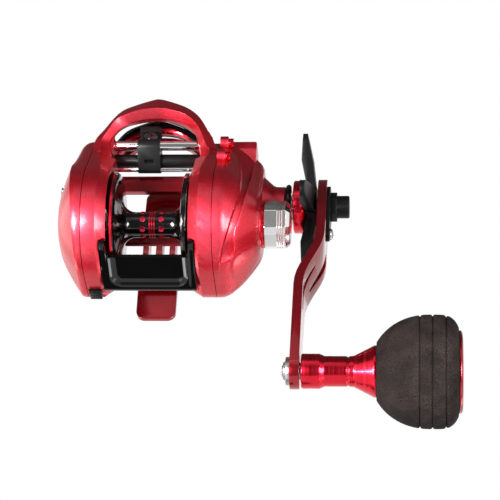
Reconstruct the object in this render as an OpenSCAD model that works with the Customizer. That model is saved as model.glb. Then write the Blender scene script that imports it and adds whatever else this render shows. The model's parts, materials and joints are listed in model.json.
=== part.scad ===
// Low-profile baitcasting reel with a power handle.
// X runs along the spool towards the handle, Y points forward and Z up.
// The origin is the middle of the foot's underside.

/* [Foot] */
// Length of the foot along the rod
foot_len = 59; // [52:1:66]
// Width of the foot
foot_w = 15; // [13:0.5:17]
// Thickness of the foot at its middle
foot_t = 3; // [2.5:0.25:3.5]
// Thickness of the foot at its two ends
foot_tip_t = 1.8; // [1.4:0.2:2.4]
// Height of the pad that the frame stands on, over the underside
pad_z = 4.2; // [4:0.2:5]
// Half the distance between the foot screws, across the foot
foot_screw_x = 3.6; // [3:0.2:4.2]
// Distance from the spool axis back to the rear foot screws
foot_screw_back = 8; // [7:0.5:9]
// Distance from the spool axis forward to the front foot screws
foot_screw_front = 13; // [12.5:0.5:14]

/* [Spool] */
// Height of the spool axis over the foot's underside
spool_z = 27.5; // [27:0.5:30]
// Place of the spool axis along the rod
spool_y = -4.4; // [-6:0.2:-3]
// Radius of the spool flanges
flange_r = 19.3; // [18:0.1:19.6]
// Width of the spool over its flanges
spool_w = 28; // [26:0.5:29]
// Thickness of a flange at its rim
flange_t = 1.4; // [1:0.1:2]
// Radius of the arbor at its waist
arbor_r = 4.8; // [4.2:0.2:6]
// Length of the arbor's straight waist
arbor_len = 12.6; // [10:0.2:14]
// Radius of the arbor where it meets the flanges
arbor_end_r = 8.2; // [7:0.2:9]
// Radius of the spool shaft
shaft_r = 1.5; // [1.3:0.1:1.6]

/* [Frame] */
// Distance from the middle to the inner edge of a side ring
win_half = 15.2; // [14.8:0.1:15.6]
// Distance from the middle to the outer edge of the ring's chamfer
edge_half = 18.8; // [18.4:0.1:19.2]
// Wall of a side ring outside the spool's opening
ring_wall = 2.9; // [2.5:0.1:3.4]
// Depth of the ring's chamfer
chamfer = 2.3; // [1.6:0.1:2.6]
// Half the width of the window for the line guide
guide_half = 17; // [16.6:0.1:17.4]
// Thickness of the gear side wall
wall_t = 2; // [1.6:0.1:2.4]
// Wall of the frame round the gears
case_wall = 1.3; // [1.1:0.1:1.5]
// Thickness of the floor under the spool
floor_t = 2.2; // [1.8:0.1:2.4]
// Place of the tail's rounding along the rod
tail_y = -17.4; // [-19:0.2:-16]
// Height of the tail's rounding
tail_z = 16; // [15:0.5:18]
// Radius of the tail's rounding
tail_r = 10; // [9:0.5:10.5]
// Place of the nose's rounding along the rod
nose_y = 24.6; // [23:0.2:26]
// Height of the nose's rounding
nose_z = 25; // [23:0.5:26]
// Radius of the nose's rounding
nose_r = 9.8; // [9:0.2:10.4]

/* [Hood] */
// Place along the rod where the hood springs from the side rings
hood_y = 21; // [20.4:0.2:22]
// Place of the hood's front edge along the rod
hood_front = 48.6; // [46.6:0.5:50.6]
// Place of the hood's rear edge along the rod
hood_rear = 35.2; // [34.6:0.2:36.6]
// Height of the hood's crown
hood_z = 40; // [39:0.5:43]
// Thickness of the hood at its crown
hood_t = 2.7; // [2.2:0.1:3.2]
// How peaked the hood is on the gear side, as a share of the palm side
hood_lean = 0.43; // [0.3:0.05:1]
// Height of the lower lip
lip_z = 17; // [16:0.5:17.5]
// Height of the upper lip
visor_z = 22; // [21:0.5:23]

/* [Covers] */
// Wall of the two side covers
cover_wall = 1.2; // [1:0.1:1.3]
// Width of the palm cover's band at the spool axis
palm_band = 4.4; // [4:0.2:5]
// How much wider the band gets for each millimetre forward
palm_skew = 0.09; // [0.06:0.01:0.1]
// Height of the palm cover's dome over the seam
palm_rise = 10.2; // [10:0.2:12]
// Width of the gear cover from the seam to its face
gear_w = 16.6; // [16:0.1:17.2]
// Width of the nose housing from the seam
box_w = 13.6; // [12:0.2:14]

/* [Gear train] */
// Module of all the gears
gear_module = 0.5; // [0.48:0.01:0.52]
// Teeth of the drive gear
drive_teeth = 60; // [60:12:60]
// Teeth of the pinion
pinion_teeth = 12; // [12:12:12]
// Teeth of the level wind gear
wind_teeth = 54; // [54:18:54]
// Teeth of the worm gear
worm_teeth = 18; // [18:18:18]
// Angle of the drive shaft below and ahead of the spool
drive_angle = 32.6; // [30:0.2:34]
// Angle of the worm above and ahead of the drive shaft
worm_angle = 28.4; // [26:0.2:31]
// Face width of the drive gear
drive_face = 3.8; // [3:0.1:4.2]
// Face width of the level wind gears
wind_face = 2.4; // [2:0.1:2.6]
// Radius of the drive shaft
drive_r = 3; // [2.6:0.1:3.2]
// How far the clutch moves the pinion
clutch_travel = 1.5; // [1:0.1:1.6]

/* [Drag and handle] */
// Radius of the drive boss's neck
boss_r = 7.7; // [7.4:0.1:7.9]
// Radius of the drag ring
drag_ring_r = 10.1; // [9.4:0.1:10.2]
// Radius of the seal ring
seal_r = 8.6; // [8.2:0.1:8.7]
// Radius of the star drag over its tips
star_r = 28; // [24:0.5:28.5]
// Angle at which the star drag's first arm stands at rest
star_turn = 38; // [0:1:71]
// Arms of the star drag
star_arms = 5; // [4:1:6]
// Distance from the drive shaft to the knob axis
handle_len = 85; // [75:1:95]
// Angle at which the handle is raised at rest
handle_angle = 11.2; // [0:1:20]
// Thickness of the handle arm
arm_t = 3.4; // [2.8:0.1:3.6]
// Gap between the star drag's hub and the handle arm
arm_gap = 0.6; // [0.5:0.1:1.2]
// How far the arm's knob end is set in
arm_set = 7.1; // [5:0.1:7.4]
// Radius of the arm's drive end
arm_hub_r = 10.4; // [9.6:0.2:11]
// Radius of the arm's knob end
arm_end_r = 6.5; // [6:0.1:7.5]

/* [Knob] */
// Radius of the foam grip
grip_r = 20; // [17:0.2:21]
// Length of the foam grip
grip_len = 30; // [26:0.5:32]
// Length of the knob stem up to the grip
stem_len = 26.4; // [24:0.2:28]
// Radius of the stem's collar
stem_r = 6.2; // [5.6:0.1:6.4]
// Radius of the stem's flare at the grip
flare_r = 9.2; // [8:0.2:10]
// Radius of the knob axle
axle_r = 2; // [1.8:0.1:2.2]

/* [Line guide] */
// Where the line guide stands at rest, across the reel
guide_x = -3.5; // [-6:0.5:6]
// Width of the line guide
guide_w = 8.6; // [7:0.2:9]
// Radius of the worm's cover tube
tube_r = 2.5; // [2.4:0.1:2.7]
// Wall of the cover tube
tube_wall = 0.55; // [0.5:0.05:0.6]
// Radius of the upper guide rod
top_rod_r = 1.9; // [1.6:0.1:2]
// Radius of the lower guide rod
low_rod_r = 0.9; // [0.8:0.05:1]
// Radius of the hole in the line guide's ring
eye_r = 1.8; // [1.6:0.1:2.2]

/* [Controls] */
// Radius of the cast control cap over its corners
cap_r = 9; // [8.4:0.1:9]
// Angle at which the cast control cap stands at rest
cap_turn = 50; // [0:1:59]
// Length of the cast control cap
cap_len = 10.4; // [9.8:0.2:10.6]
// Radius of the brake dial
dial_r = 4.6; // [4:0.1:5]
// How far the thumb bar travels
thumb_travel = 4; // [3:0.5:4.5]
// Half the length of the thumb bar
thumb_half = 17.3; // [17:0.1:17.6]
// Thickness of the thumb bar
thumb_t = 2.4; // [2:0.1:2.6]

/* [Clearances] */
// Gap round the spool's flanges in the frame
flange_gap = 0.8; // [0.6:0.1:1]
// Running clearance of shafts, on the radius
run_gap = 0.05; // [0.03:0.01:0.08]
// Clearance of fixed pieces in their seats, on the radius
seat_gap = 0.02; // [0.01:0.01:0.04]
// Gap between pieces that move past each other
move_gap = 0.4; // [0.3:0.05:0.5]
// Gap on either side of the level wind gears
gear_gap = 0.4; // [0.3:0.05:0.6]
// Width of the visible seams
seam = 0.25; // [0.15:0.05:0.35]

/* [Hidden] */
$fn = 64;
arc_steps = 9;
eps = 0.01;

// Axes, as places across the reel's side view
spool_at = [spool_y, spool_z];
drive_dist = gear_module * (drive_teeth + pinion_teeth) / 2;
drive_at = spool_at + drive_dist * [cos(drive_angle), -sin(drive_angle)];
worm_dist = gear_module * (wind_teeth + worm_teeth) / 2;
worm_at = drive_at + worm_dist * [cos(worm_angle), sin(worm_angle)];
top_rod_at = worm_at + [2.9, 5.7];
low_rod_at = worm_at + [-3.9, -0.4];
knob_at = drive_at + handle_len * [-cos(handle_angle), sin(handle_angle)];
dial_at = spool_at + [12, 0.5];
crossbar_at = worm_at + [-6.2, -7.2];

// Radii that follow from the fits
bore_r = flange_r + flange_gap;
shell_r = bore_r + ring_wall;
drive_tip_r = gear_module * (drive_teeth / 2 + 1);
worm_tip_r = gear_module * (worm_teeth / 2 + 1);
pinion_root_r = gear_module * (pinion_teeth / 2 - 1.25);
case_r = drive_tip_r + move_gap + case_wall + 0.2;
box_r = worm_tip_r + move_gap + case_wall - 0.1;
race_r = 4.5;
clutch_r = 7;
sleeve_r = drive_r + 1.2;
worm_r = tube_r - tube_wall - 0.35;

// Stations across the reel
wall_x = edge_half + wall_t;
rod_skin = 1;
rod_end = wall_x - rod_skin;
bush_len = 2.2;
tube_end = wall_x - bush_len - 0.2;
bush_t = 1.2;
wind_x = wall_x + gear_gap;
seam_half = wind_x + wind_face + gear_gap;
face_x = seam_half + gear_w;
ratchet_x = wind_x + wind_face + 0.3;
ratchet_t = 1;
gear_x = ratchet_x + ratchet_t + 0.3;
drag_depth = 1.4;
drag_seat_r = 11;
plate_x = gear_x + drive_face;
groove_x = plate_x + 2.2;
yoke_t = 1.2;
groove_w = yoke_t + 0.6;
cap_x = face_x + 0.6;
cap_end = cap_x + cap_len;
cap_chamfer = 1.6;
neck_x = face_x + 8.2;
seal_x = neck_x + 0.1;
ring_x = cap_end + 0.3;
star_x = ring_x + 4.6;
star_hub_t = 4.2;
arm_x = star_x + star_hub_t + arm_gap;
arm_out = arm_x + arm_t;
retainer_t = 1.2;
nut_x = arm_out + retainer_t;
knob_x = arm_x - arm_set;
stem_x = knob_x + arm_t + 0.6;
grip_x = stem_x + stem_len;
grip_end = grip_x + grip_len;

// Side outlines, as circles that a belt runs round: place along the rod, height, radius
nose = [nose_y, nose_z, nose_r];
shell = [spool_y, spool_z, shell_r];
tail = [tail_y, tail_z, tail_r];
case = [drive_at[0], drive_at[1], case_r];
box = [worm_at[0], worm_at[1], box_r];
palm_belt = [nose, shell, tail, shell];
gear_belt = [box, shell, tail, case];
gear_face = [
    [drive_at[0] + 8, drive_at[1] + 4.3, 6.4], [spool_y, spool_z, 10.5],
    [spool_y - 2.6, spool_z - 10.5, 4.8], [drive_at[0], drive_at[1], case_r - 3.4]
];
cheek_belt = [[nose_y, nose_z, nose_r - 0.1], [top_rod_at[0], top_rod_at[1], 3.4]];
guide_belt = [
    [worm_at[0] + 0.6, worm_at[1], 3.7], [top_rod_at[0], top_rod_at[1] - 0.4, 2.9],
    [low_rod_at[0] + 0.6, low_rod_at[1], 1.9], [worm_at[0], worm_at[1] - 2.2, 3]
];

red = [0.72, 0.05, 0.12];
dark_red = [0.4, 0.02, 0.05];
black = [0.05, 0.05, 0.06];
silver = [0.78, 0.78, 0.8];
brass = [0.75, 0.6, 0.3];

// The turn from 0 to 360 degrees that brings one direction to another
function turn(a) = a - 360 * floor(a / 360);

// Direction of the outward normal where a belt leaves circle a for circle b
function belt_normal(a, b) =
    let (d = [b[0] - a[0], b[1] - a[1]])
    atan2(d[1], d[0]) - acos((a[2] - b[2]) / norm(d));

// Outline of a belt round circles, anticlockwise
function belt(circles, steps = arc_steps) =
    let (n = len(circles))
    [for (i = [0 : n - 1])
        let (
            c = circles[i],
            from = belt_normal(circles[(i + n - 1) % n], c),
            sweep = turn(belt_normal(c, circles[(i + 1) % n]) - from)
        )
        for (k = [0 : steps])
            let (a = from + sweep * k / steps)
            [c[0] + c[2] * cos(a), c[1] + c[2] * sin(a)]];

// Height of the belt's straight run that leaves circle a for circle b, at a place along the rod
function run_z(a, b, y) =
    let (n = belt_normal(a, b))
    a[1] + (a[2] - (y - a[0]) * cos(n)) / sin(n);

// Circles with every radius changed by the same amount
function grown(circles, by) = [for (c = circles) [c[0], c[1], c[2] + by]];

// Circles part of the way from one set to another
function between(a, b, share) = [for (i = [0 : len(a) - 1]) a[i] + share * (b[i] - a[i])];

// A belt's outline stood at a station, leaning with the distance forward
function section(circles, x, lean = 0) =
    [for (p = belt(circles)) [x + lean * (p[0] - spool_y), p[0], p[1]]];

// Point of a rail along the hood or a lip, at an angle from its crown. A rail has a half width,
// the places of its ends and crown along the rod, their heights and how peaked it is
function rail_point(rail, a) = [
    rail[0] * sin(a),
    rail[1] + (rail[2] - rail[1]) * pow(max(0, cos(a)), 1 + (rail[5] - 1) * (a > 0 ? hood_lean : 1)),
    rail[3] + (rail[4] - rail[3]) * pow(max(0, cos(a)), 0.8)
];

// Outline of a spur gear with straight flanks
function gear_outline(teeth, phase = 0) =
    let (
        pitch = 360 / teeth,
        r = gear_module * teeth / 2,
        tip = r + 0.9 * gear_module,
        root = r - 1.25 * gear_module
    )
    [for (
        i = [0 : teeth - 1],
        p = [[root, -0.31], [r, -0.215], [tip, -0.1], [tip, 0.1], [r, 0.215], [root, 0.31]]
    )
        let (a = phase + (i + p[1]) * pitch)
        [p[0] * cos(a), p[0] * sin(a)]];

hood_end_z = run_z(nose, shell, hood_y);

// Solid between equal outlines that follow each other along X
module loft(sections) {
    n = len(sections);
    m = len(sections[0]);
    sides = [for (i = [0 : n - 2], j = [0 : m - 1])
        let (k = (j + 1) % m)
        each [[i * m + j, (i + 1) * m + j, (i + 1) * m + k], [i * m + j, (i + 1) * m + k, i * m + k]]];
    near_end = [for (j = [0 : m - 1]) j];
    far_end = [for (j = [m - 1 : -1 : 0]) (n - 1) * m + j];
    polyhedron([for (s = sections) each s], concat([near_end, far_end], sides));
}

// Side outline drawn out along X
module along_x(x0, x1) {
    translate([x0, 0, 0]) rotate([90, 0, 90]) linear_extrude(x1 - x0) children();
}

// Round bar along X
module bar(x0, x1, r, at) {
    translate([x0, at[0], at[1]]) rotate([0, 90, 0]) cylinder(h = x1 - x0, r = r);
}

// Cone along X
module cone(x0, x1, r0, r1, at) {
    translate([x0, at[0], at[1]]) rotate([0, 90, 0]) cylinder(h = x1 - x0, r1 = r0, r2 = r1);
}

// Tube along X
module tube(x0, x1, r, hole, at) {
    difference() {
        bar(x0, x1, r, at);
        bar(x0 - 1, x1 + 1, hole, at);
    }
}

// Body turned about an axis along X, from points of radius and station
module turned(points, at) {
    translate([0, at[0], at[1]]) rotate([0, 90, 0]) rotate_extrude() polygon(points);
}

// Gear on an axis along X
module gear(x0, x1, teeth, at, phase) {
    translate([0, at[0], at[1]]) along_x(x0, x1) polygon(gear_outline(teeth, phase));
}

// Hood or lip swept over the front from one side to the other, its feet drawn on by a step
module sweep_over(rails, foot = [0, 0, 0]) {
    arch = [for (a = [-90 : 9 : 90]) [for (r = rails) rail_point(r, a)]];
    loft(foot == [0, 0, 0] ? arch : concat(
        [[for (p = arch[0]) p + foot]], arch, [[for (p = arch[len(arch) - 1]) p + foot]]
    ));
}

// One side ring of the frame with its chamfer towards the spool
module side_ring(side) {
    near = min(side * win_half, side * edge_half);
    far = max(side * win_half, side * edge_half);
    small = grown(palm_belt, -chamfer);
    loft([
        section(side > 0 ? small : palm_belt, near),
        section(side > 0 ? palm_belt : small, far)
    ]);
}

module frame() color(red) {
    difference() {
        union() {
            difference() {
                union() {
                    side_ring(-1);
                    side_ring(1);
                    along_x(-seam_half, -edge_half) polygon(belt(palm_belt));
                    along_x(edge_half, seam_half) polygon(belt(gear_belt));
                }
                bar(-seam_half - 1, edge_half, bore_r, spool_at);
                along_x(-guide_half, guide_half) guide_window();
                along_x(-thumb_half - move_gap, thumb_half + move_gap) thumb_path();
            }
            for (side = [-1, 1]) cheek(side);
            frame_floor();
            along_x(-guide_half - 1, guide_half + 1) crossbar_outline();
            front_hood();
            front_lip();
        }
        bar(-rod_end - 0.2, rod_end + 0.2, top_rod_r + seat_gap, top_rod_at);
        bar(-rod_end - 0.2, rod_end + 0.2, low_rod_r + seat_gap, low_rod_at);
        bar(-rod_end - 0.2, wall_x + 1, tube_r + seat_gap, worm_at);
        bar(0, wall_x + 1, race_r + seat_gap, spool_at);
        bar(edge_half - 1, wall_x + 1, race_r + seat_gap, drive_at);
        along_x(wall_x, seam_half + 1) polygon(belt(grown(gear_belt, -case_wall)));
        along_x(-guide_half, guide_half) polygon(belt(grown(guide_belt, move_gap)));
        foot_screw_holes(1.2, pad_z - 1, pad_z + 6);
        release_slot();
    }
}

// Cheek beside the line guide that holds its rods
module cheek(side) {
    difference() {
        along_x(side > 0 ? guide_half : -seam_half, side > 0 ? wall_x : -guide_half)
            polygon(belt(cheek_belt));
        bar(-seam_half - 1, seam_half + 1, bore_r, spool_at);
    }
}

// Space that the line guide runs in
module guide_window() {
    low = crossbar_at[1] - 6;
    polygon([[crossbar_at[0], low], [80, low], [80, 80], [crossbar_at[0], 80]]);
}

// Bar of the frame ahead of the spool
module crossbar_outline() {
    translate(crossbar_at)
        polygon([[-2.6, -2.8], [2.6, -1.4], [3, 1.6], [1.8, 2.4], [-3.2, 0.2]]);
}

// Slots through the floor and the foot, slanted back towards the thumb
module floor_slots() {
    for (w = [[-13.6, -6.2], [-4, -1.2], [1.2, 4], [6.2, 13.6]])
        along_x(w[0], w[1]) translate([spool_y, 0]) polygon([[-4, 12], [1.1, 12], [10.2, -1], [5.1, -1]]);
}

// Trough under the spool, with its slots, and the pad on the foot
module frame_floor() {
    outer_r = bore_r + floor_t;
    half = edge_half;
    difference() {
        union() {
            intersection() {
                tube(-half, half, outer_r, bore_r, spool_at);
                along_x(-half, half) translate(spool_at)
                    polygon([[0, 0], [-0.95 * outer_r, -1.3 * outer_r], [0.75 * outer_r, -1.3 * outer_r]]);
            }
            difference() {
                translate([-foot_w / 2, spool_y - foot_screw_back - 3, pad_z])
                    cube([foot_w, foot_screw_back + foot_screw_front + 6, 4.4]);
                bar(-half, half, bore_r + floor_t / 2, spool_at);
            }
        }
        floor_slots();
    }
}

module front_hood() {
    mid = (hood_front + hood_rear) / 2;
    half = edge_half + 5;
    hood_foot = 9;
    difference() {
        sweep_over([
            [half, hood_y, hood_front, hood_end_z - 0.3, hood_z - 3.2, 1.7],
            [half - 3.2, hood_y, mid, hood_end_z + 0.3, hood_z, 1.45],
            [guide_half, hood_y, hood_rear, hood_end_z - 1.8, hood_z - 0.7, 1.2],
            [guide_half, hood_y, hood_rear + 0.2, hood_end_z - 7, hood_z - hood_t - 0.4, 1.2],
            [half - 3.2, hood_y, mid, hood_end_z - 8, hood_z - hood_t, 1.45],
            [half - 0.6, hood_y, hood_front - 0.8, hood_end_z - 7, hood_z - hood_t - 2.2, 1.7]
        ], [0, -hood_foot, run_z(nose, shell, hood_y - hood_foot) - hood_end_z - 1]);
        bar(-seam_half - 1, seam_half + 1, bore_r, spool_at);
    }
}

// Two lips below the way of the line, with a slit between them
module front_lip() {
    from = nose_y + 2;
    for (l = [[lip_z, hood_front - 3.4], [visor_z, hood_front - 2.4]])
        sweep_over([
            [guide_half + 3, from, l[1], l[0] + 2, l[0], 1],
            [guide_half + 2, from, l[1] - 1.6, l[0] + 3.5, l[0] + 1.6, 1],
            [guide_half + 0.2, from, l[1] - 3.4, l[0] + 2.5, l[0] + 0.4, 1],
            [guide_half + 0.2, from, l[1] - 3, l[0] - 0.6, l[0] - 1.8, 1],
            [guide_half + 2, from, l[1] - 1.2, l[0] - 0.6, l[0] - 2, 1]
        ]);
}

// The four screw places of the foot
module at_foot_screws() {
    for (x = [-foot_screw_x, foot_screw_x], y = [-foot_screw_back, foot_screw_front])
        translate([x, spool_y + y, 0]) children();
}

module foot_screw_holes(r, z0, z1) {
    at_foot_screws() translate([0, 0, z0]) cylinder(h = z1 - z0, r = r);
}

screw_head_r = 2;
screw_head_t = 1.4;
screw_floor = 0.3;

module reel_foot() color(red) {
    corner = 3.2;
    difference() {
        union() {
            intersection() {
                linear_extrude(foot_t) polygon(belt([
                    [foot_w / 2 - corner, foot_len / 2 - corner, corner],
                    [corner - foot_w / 2, foot_len / 2 - corner, corner],
                    [corner - foot_w / 2, corner - foot_len / 2, corner],
                    [foot_w / 2 - corner, corner - foot_len / 2, corner]
                ]));
                along_x(-foot_w, foot_w) polygon([
                    [-foot_len / 2, 0], [foot_len / 2, 0], [foot_len / 2, foot_tip_t],
                    [foot_len / 2 - 14, foot_t], [14 - foot_len / 2, foot_t], [-foot_len / 2, foot_tip_t]
                ]);
            }
            translate([-foot_w / 2 + 0.4, spool_y - foot_screw_back - 4, foot_t - eps])
                cube([foot_w - 0.8, foot_screw_back + foot_screw_front + 8, pad_z - foot_t + eps]);
        }
        floor_slots();
        foot_screw_holes(1.2, -1, pad_z + 1);
        foot_screw_holes(screw_head_r + 0.1, -1, screw_floor + screw_head_t);
    }
}

module foot_screws() color(silver) {
    at_foot_screws() difference() {
        union() {
            translate([0, 0, screw_floor]) cylinder(h = screw_head_t, r = screw_head_r);
            translate([0, 0, screw_floor + screw_head_t - eps])
                cylinder(h = pad_z - screw_head_t + 0.8, r = 1.1);
        }
        translate([0, 0, screw_floor - 0.1]) cylinder(h = 0.8, r = 0.9, $fn = 6);
    }
}

// Circles of the palm cover at a share of the way up its dome
palm_apex = [
    [spool_y + 4, spool_z - 1, 7], [spool_y, spool_z, 9.4],
    [spool_y - 4, spool_z - 3, 6], [spool_y, spool_z, 9.4]
];
palm_mid_x = palm_band + 0.6 * (palm_rise - palm_band);

palm_rim = [
    [nose_y - 3.6, nose_z - 3, nose_r - 1.8], [spool_y, spool_z, shell_r - 0.5],
    [tail_y, tail_z, tail_r - 0.5], [spool_y, spool_z, shell_r - 0.5]
];

module palm_skin() {
    x0 = -seam_half - seam;
    loft([
        section(palm_apex, x0 - palm_rise),
        section(between(palm_rim, palm_apex, 0.5), x0 - palm_mid_x, -0.5 * palm_skew),
        section(palm_rim, x0 - palm_band, -palm_skew),
        section(between(palm_belt, palm_rim, 0.25), x0 - 0.6 * palm_band, -0.5 * palm_skew),
        section(palm_belt, x0)
    ]);
}

// Stepped hollow of the palm cover
module palm_hollow() {
    along_x(-seam_half - 0.5 * palm_band, -seam_half + 1)
        polygon(belt(grown(between(palm_belt, palm_rim, 0.5), -cover_wall)));
    along_x(-seam_half - palm_band, -seam_half)
        polygon(belt(grown(between(palm_rim, palm_apex, 0.22), -cover_wall)));
    along_x(-seam_half - palm_mid_x + 0.6, -seam_half)
        polygon(belt(grown(between(palm_rim, palm_apex, 0.6), -cover_wall)));
    along_x(-seam_half - palm_rise + 2, -seam_half) polygon(belt(grown(palm_apex, -cover_wall)));
}

dial_hole_r = dial_r + move_gap;

module palm_side_cover() color(red) {
    difference() {
        union() {
            difference() {
                palm_skin();
                palm_hollow();
            }
            tube(-seam_half - palm_mid_x, -seam_half - 2, dial_hole_r + 1.2, dial_hole_r, dial_at);
        }
        bar(-60, -seam_half, dial_hole_r, dial_at);
    }
}

dial_x = -seam_half - palm_rise - 1.2;
dial_t = 5.4;

module brake_dial() color(silver) {
    difference() {
        turned([
            [0, dial_x + 0.6], [dial_r - 1.6, dial_x + 0.6], [dial_r - 1.2, dial_x], [dial_r - 0.5, dial_x],
            [dial_r, dial_x + 0.5], [dial_r, dial_x + dial_t], [0, dial_x + dial_t]
        ], dial_at);
        for (a = [0 : 30 : 330])
            translate([0, dial_at[0], dial_at[1]]) rotate([a, 0, 0])
                translate([dial_x - 1, dial_r, 0]) rotate([0, 90, 0]) cylinder(h = 2.2, r = 0.35, $fn = 16);
    }
}

tab_from = 168;
tab_span = 27;
tab_travel = 20;
tab_x = [-seam_half + 0.8, -edge_half];
tab_t = 1.3;
tab_seat = 0.6;

// Ring sector about the tail's rounding
module tail_sector(x0, x1, r0, r1, from, span) {
    translate([x0, tail_y, tail_z]) rotate([0, 90, 0]) rotate([0, 0, 90 + from])
        rotate_extrude(angle = span) translate([r0, 0]) square([r1 - r0, x1 - x0]);
}

module release_slot() {
    tail_sector(tab_x[0] - move_gap, tab_x[1] + 2, tail_r - tab_seat - move_gap, tail_r + 5,
        tab_from - 3, tab_span + tab_travel + 6);
}

module release_tab() color(black) {
    difference() {
        tail_sector(tab_x[0], tab_x[1], tail_r - tab_seat, tail_r + tab_t, tab_from, tab_span);
        for (k = [1 : 3])
            translate([tab_x[0] - 1, tail_y, tail_z]) rotate([tab_from + k * tab_span / 4, 0, 0])
                translate([0, tail_r + tab_t, 0]) rotate([0, 90, 0]) cylinder(h = 12, r = 0.45, $fn = 16);
    }
}

brake_x = -seam_half;
hub_depth = 6;

module brake_plate() color(black) {
    difference() {
        union() {
            bar(brake_x, brake_x + 2, bore_r - seat_gap, spool_at);
            bar(brake_x, brake_x + hub_depth, race_r + 1.5, spool_at);
        }
        bar(brake_x + hub_depth - 2.6, brake_x + hub_depth + 1, race_r + seat_gap, spool_at);
        bar(brake_x - 1, brake_x + hub_depth + 1, shaft_r + 1, spool_at);
    }
}

module palm_bearing() color(silver) {
    tube(brake_x + hub_depth - 2.6, brake_x + hub_depth - 0.2, race_r, shaft_r + run_gap, spool_at);
}

magnet_ring_r = 12;

module magnet_ring() color(dark_red) {
    difference() {
        tube(brake_x + 2, brake_x + 4, magnet_ring_r + 1.8, magnet_ring_r - 1.8, spool_at);
        at_magnets() bar(brake_x + 2.6, brake_x + 5, 1.3 + seat_gap, [0, 0]);
    }
}

// The magnet places round the spool axis
module at_magnets() {
    for (a = [0 : 45 : 315])
        translate([0, spool_y, spool_z]) rotate([a, 0, 0]) translate([0, magnet_ring_r, 0]) children();
}

module brake_magnets() color(silver) {
    at_magnets() bar(brake_x + 2.6, brake_x + 4.4, 1.3, [0, 0]);
}

// Circles of the gear cover at a distance from the seam
function gear_circles(w) = between(gear_belt, gear_face, pow(max(0, (w - 2.6) / (gear_w - 2.6)), 1.55));

face_edge = 0.9;

module gear_skin() {
    loft(concat(
        [for (w = [seam, 2.6, 6, 9.5, 13]) section(gear_circles(w), seam_half + w)],
        [section(gear_face, face_x - face_edge), section(grown(gear_face, -face_edge), face_x)]
    ));
}

// Stepped hollow of the gear cover
module gear_hollow() {
    for (w = [5.6, 9, 12.4, gear_w - cover_wall - face_edge])
        along_x(seam_half - 1, seam_half + w) polygon(belt(grown(gear_circles(w), -cover_wall)));
}

box_belt = [
    [worm_at[0], worm_at[1], box_r + 0.5], [worm_at[0] - 8, worm_at[1] - 2, 3],
    [worm_at[0] - 4, worm_at[1] - 9, 3]
];
lug_at = [worm_at + [1.9, 8.6], worm_at + [-10.4, 16.5]];
lug_len = 3.4;
lug_head_r = 1.7;
lug_head_t = 1.8;

module gear_side_cover() color(red) {
    difference() {
        union() {
            difference() {
                union() {
                    gear_skin();
                    along_x(seam_half + seam + 0.35, seam_half + box_w) polygon(belt(box_belt));
                }
                gear_hollow();
            }
            cone(face_x - 4, face_x + 4.2, 15, boss_r, drive_at);
            bar(face_x + 4, neck_x, boss_r, drive_at);
            bar(face_x - 5, face_x + 0.4, cap_r, spool_at);
            for (l = lug_at) bar(seam_half + seam, seam_half + lug_len, 2.5, l);
        }
        bar(face_x - 4, neck_x - 1.4, clutch_r + seat_gap, drive_at);
        bar(face_x - 4, neck_x + 1, sleeve_r + 0.8, drive_at);
        bar(face_x - 9, face_x + 1, race_r + seat_gap, spool_at);
        bar(face_x + 0.4, neck_x, cap_r + move_gap, spool_at);
        for (l = lug_at) {
            bar(seam_half - 1, seam_half + lug_len + 1, 1.1, l);
            bar(seam_half + lug_len, seam_half + lug_len + lug_head_t + 0.4, lug_head_r + 0.3, l);
        }
    }
}

module cover_screws() color(dark_red) {
    for (l = lug_at) difference() {
        union() {
            bar(seam_half + lug_len, seam_half + lug_len + lug_head_t, lug_head_r, l);
            bar(seam_half + 0.6, seam_half + lug_len + eps, 1.05, l);
        }
        translate([seam_half + lug_len + 1, l[0] - 0.25, l[1] - 3]) cube([2, 0.5, 6]);
    }
}

dish_rim = 3;

// Side view of the thumb bar and of the space it travels through
thumb_top = spool_at + [-21, 7.9];
thumb_low = spool_at + [-24.5, -7.3];
thumb_dir = (thumb_low - thumb_top) / norm(thumb_low - thumb_top);
thumb_out = [thumb_dir[1], -thumb_dir[0]];
ear_top = spool_at + [-16.2, 13.6];

module thumb_outline() {
    polygon([
        thumb_top - thumb_t * thumb_out, thumb_top, thumb_low,
        thumb_low - [0, 1.2] - 0.6 * thumb_out, thumb_low - thumb_t * thumb_out - [0, 0.6]
    ]);
}

module ear_outline() {
    polygon([
        ear_top, ear_top + [-1.6, 0.4], ear_top + [-3.4, -1.4],
        thumb_low, thumb_low - [0, 1.2] - 0.6 * thumb_out,
        thumb_low - thumb_t * thumb_out - [0, 0.6], thumb_top - thumb_t * thumb_out
    ]);
}

module thumb_path() {
    reach = thumb_travel + 2 * move_gap;
    hull() {
        offset(delta = move_gap) ear_outline();
        translate(reach * thumb_dir) offset(delta = move_gap) ear_outline();
        translate([-8, 0]) ear_outline();
        translate([-8, 0] + reach * thumb_dir) ear_outline();
    }
}

module thumb_bar() color(black) {
    end_t = thumb_half - win_half + 0.4;
    face_len = norm(thumb_low - thumb_top);
    dish_half = thumb_half - dish_rim;
    difference() {
        union() {
            along_x(-thumb_half, thumb_half) thumb_outline();
            along_x(-thumb_half, -thumb_half + end_t) ear_outline();
            along_x(thumb_half - end_t, thumb_half) ear_outline();
        }
        // the dish that the thumb rests in, sunk square to the face
        multmatrix([
            [1, 0, 0, 0],
            [0, thumb_dir[0], thumb_out[0], thumb_top[0]],
            [0, thumb_dir[1], thumb_out[1], thumb_top[1]],
            [0, 0, 0, 1]
        ])
            translate([0, 0, -0.9]) linear_extrude(4) polygon(belt([
                [dish_half - 4, face_len - 6.2, 4], [4 - dish_half, face_len - 6.2, 4],
                [1 - dish_half, -4, 1], [dish_half - 1, -4, 1]
            ]));
    }
}

yoke_half = 9;
yoke_dir = drive_angle;

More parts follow.
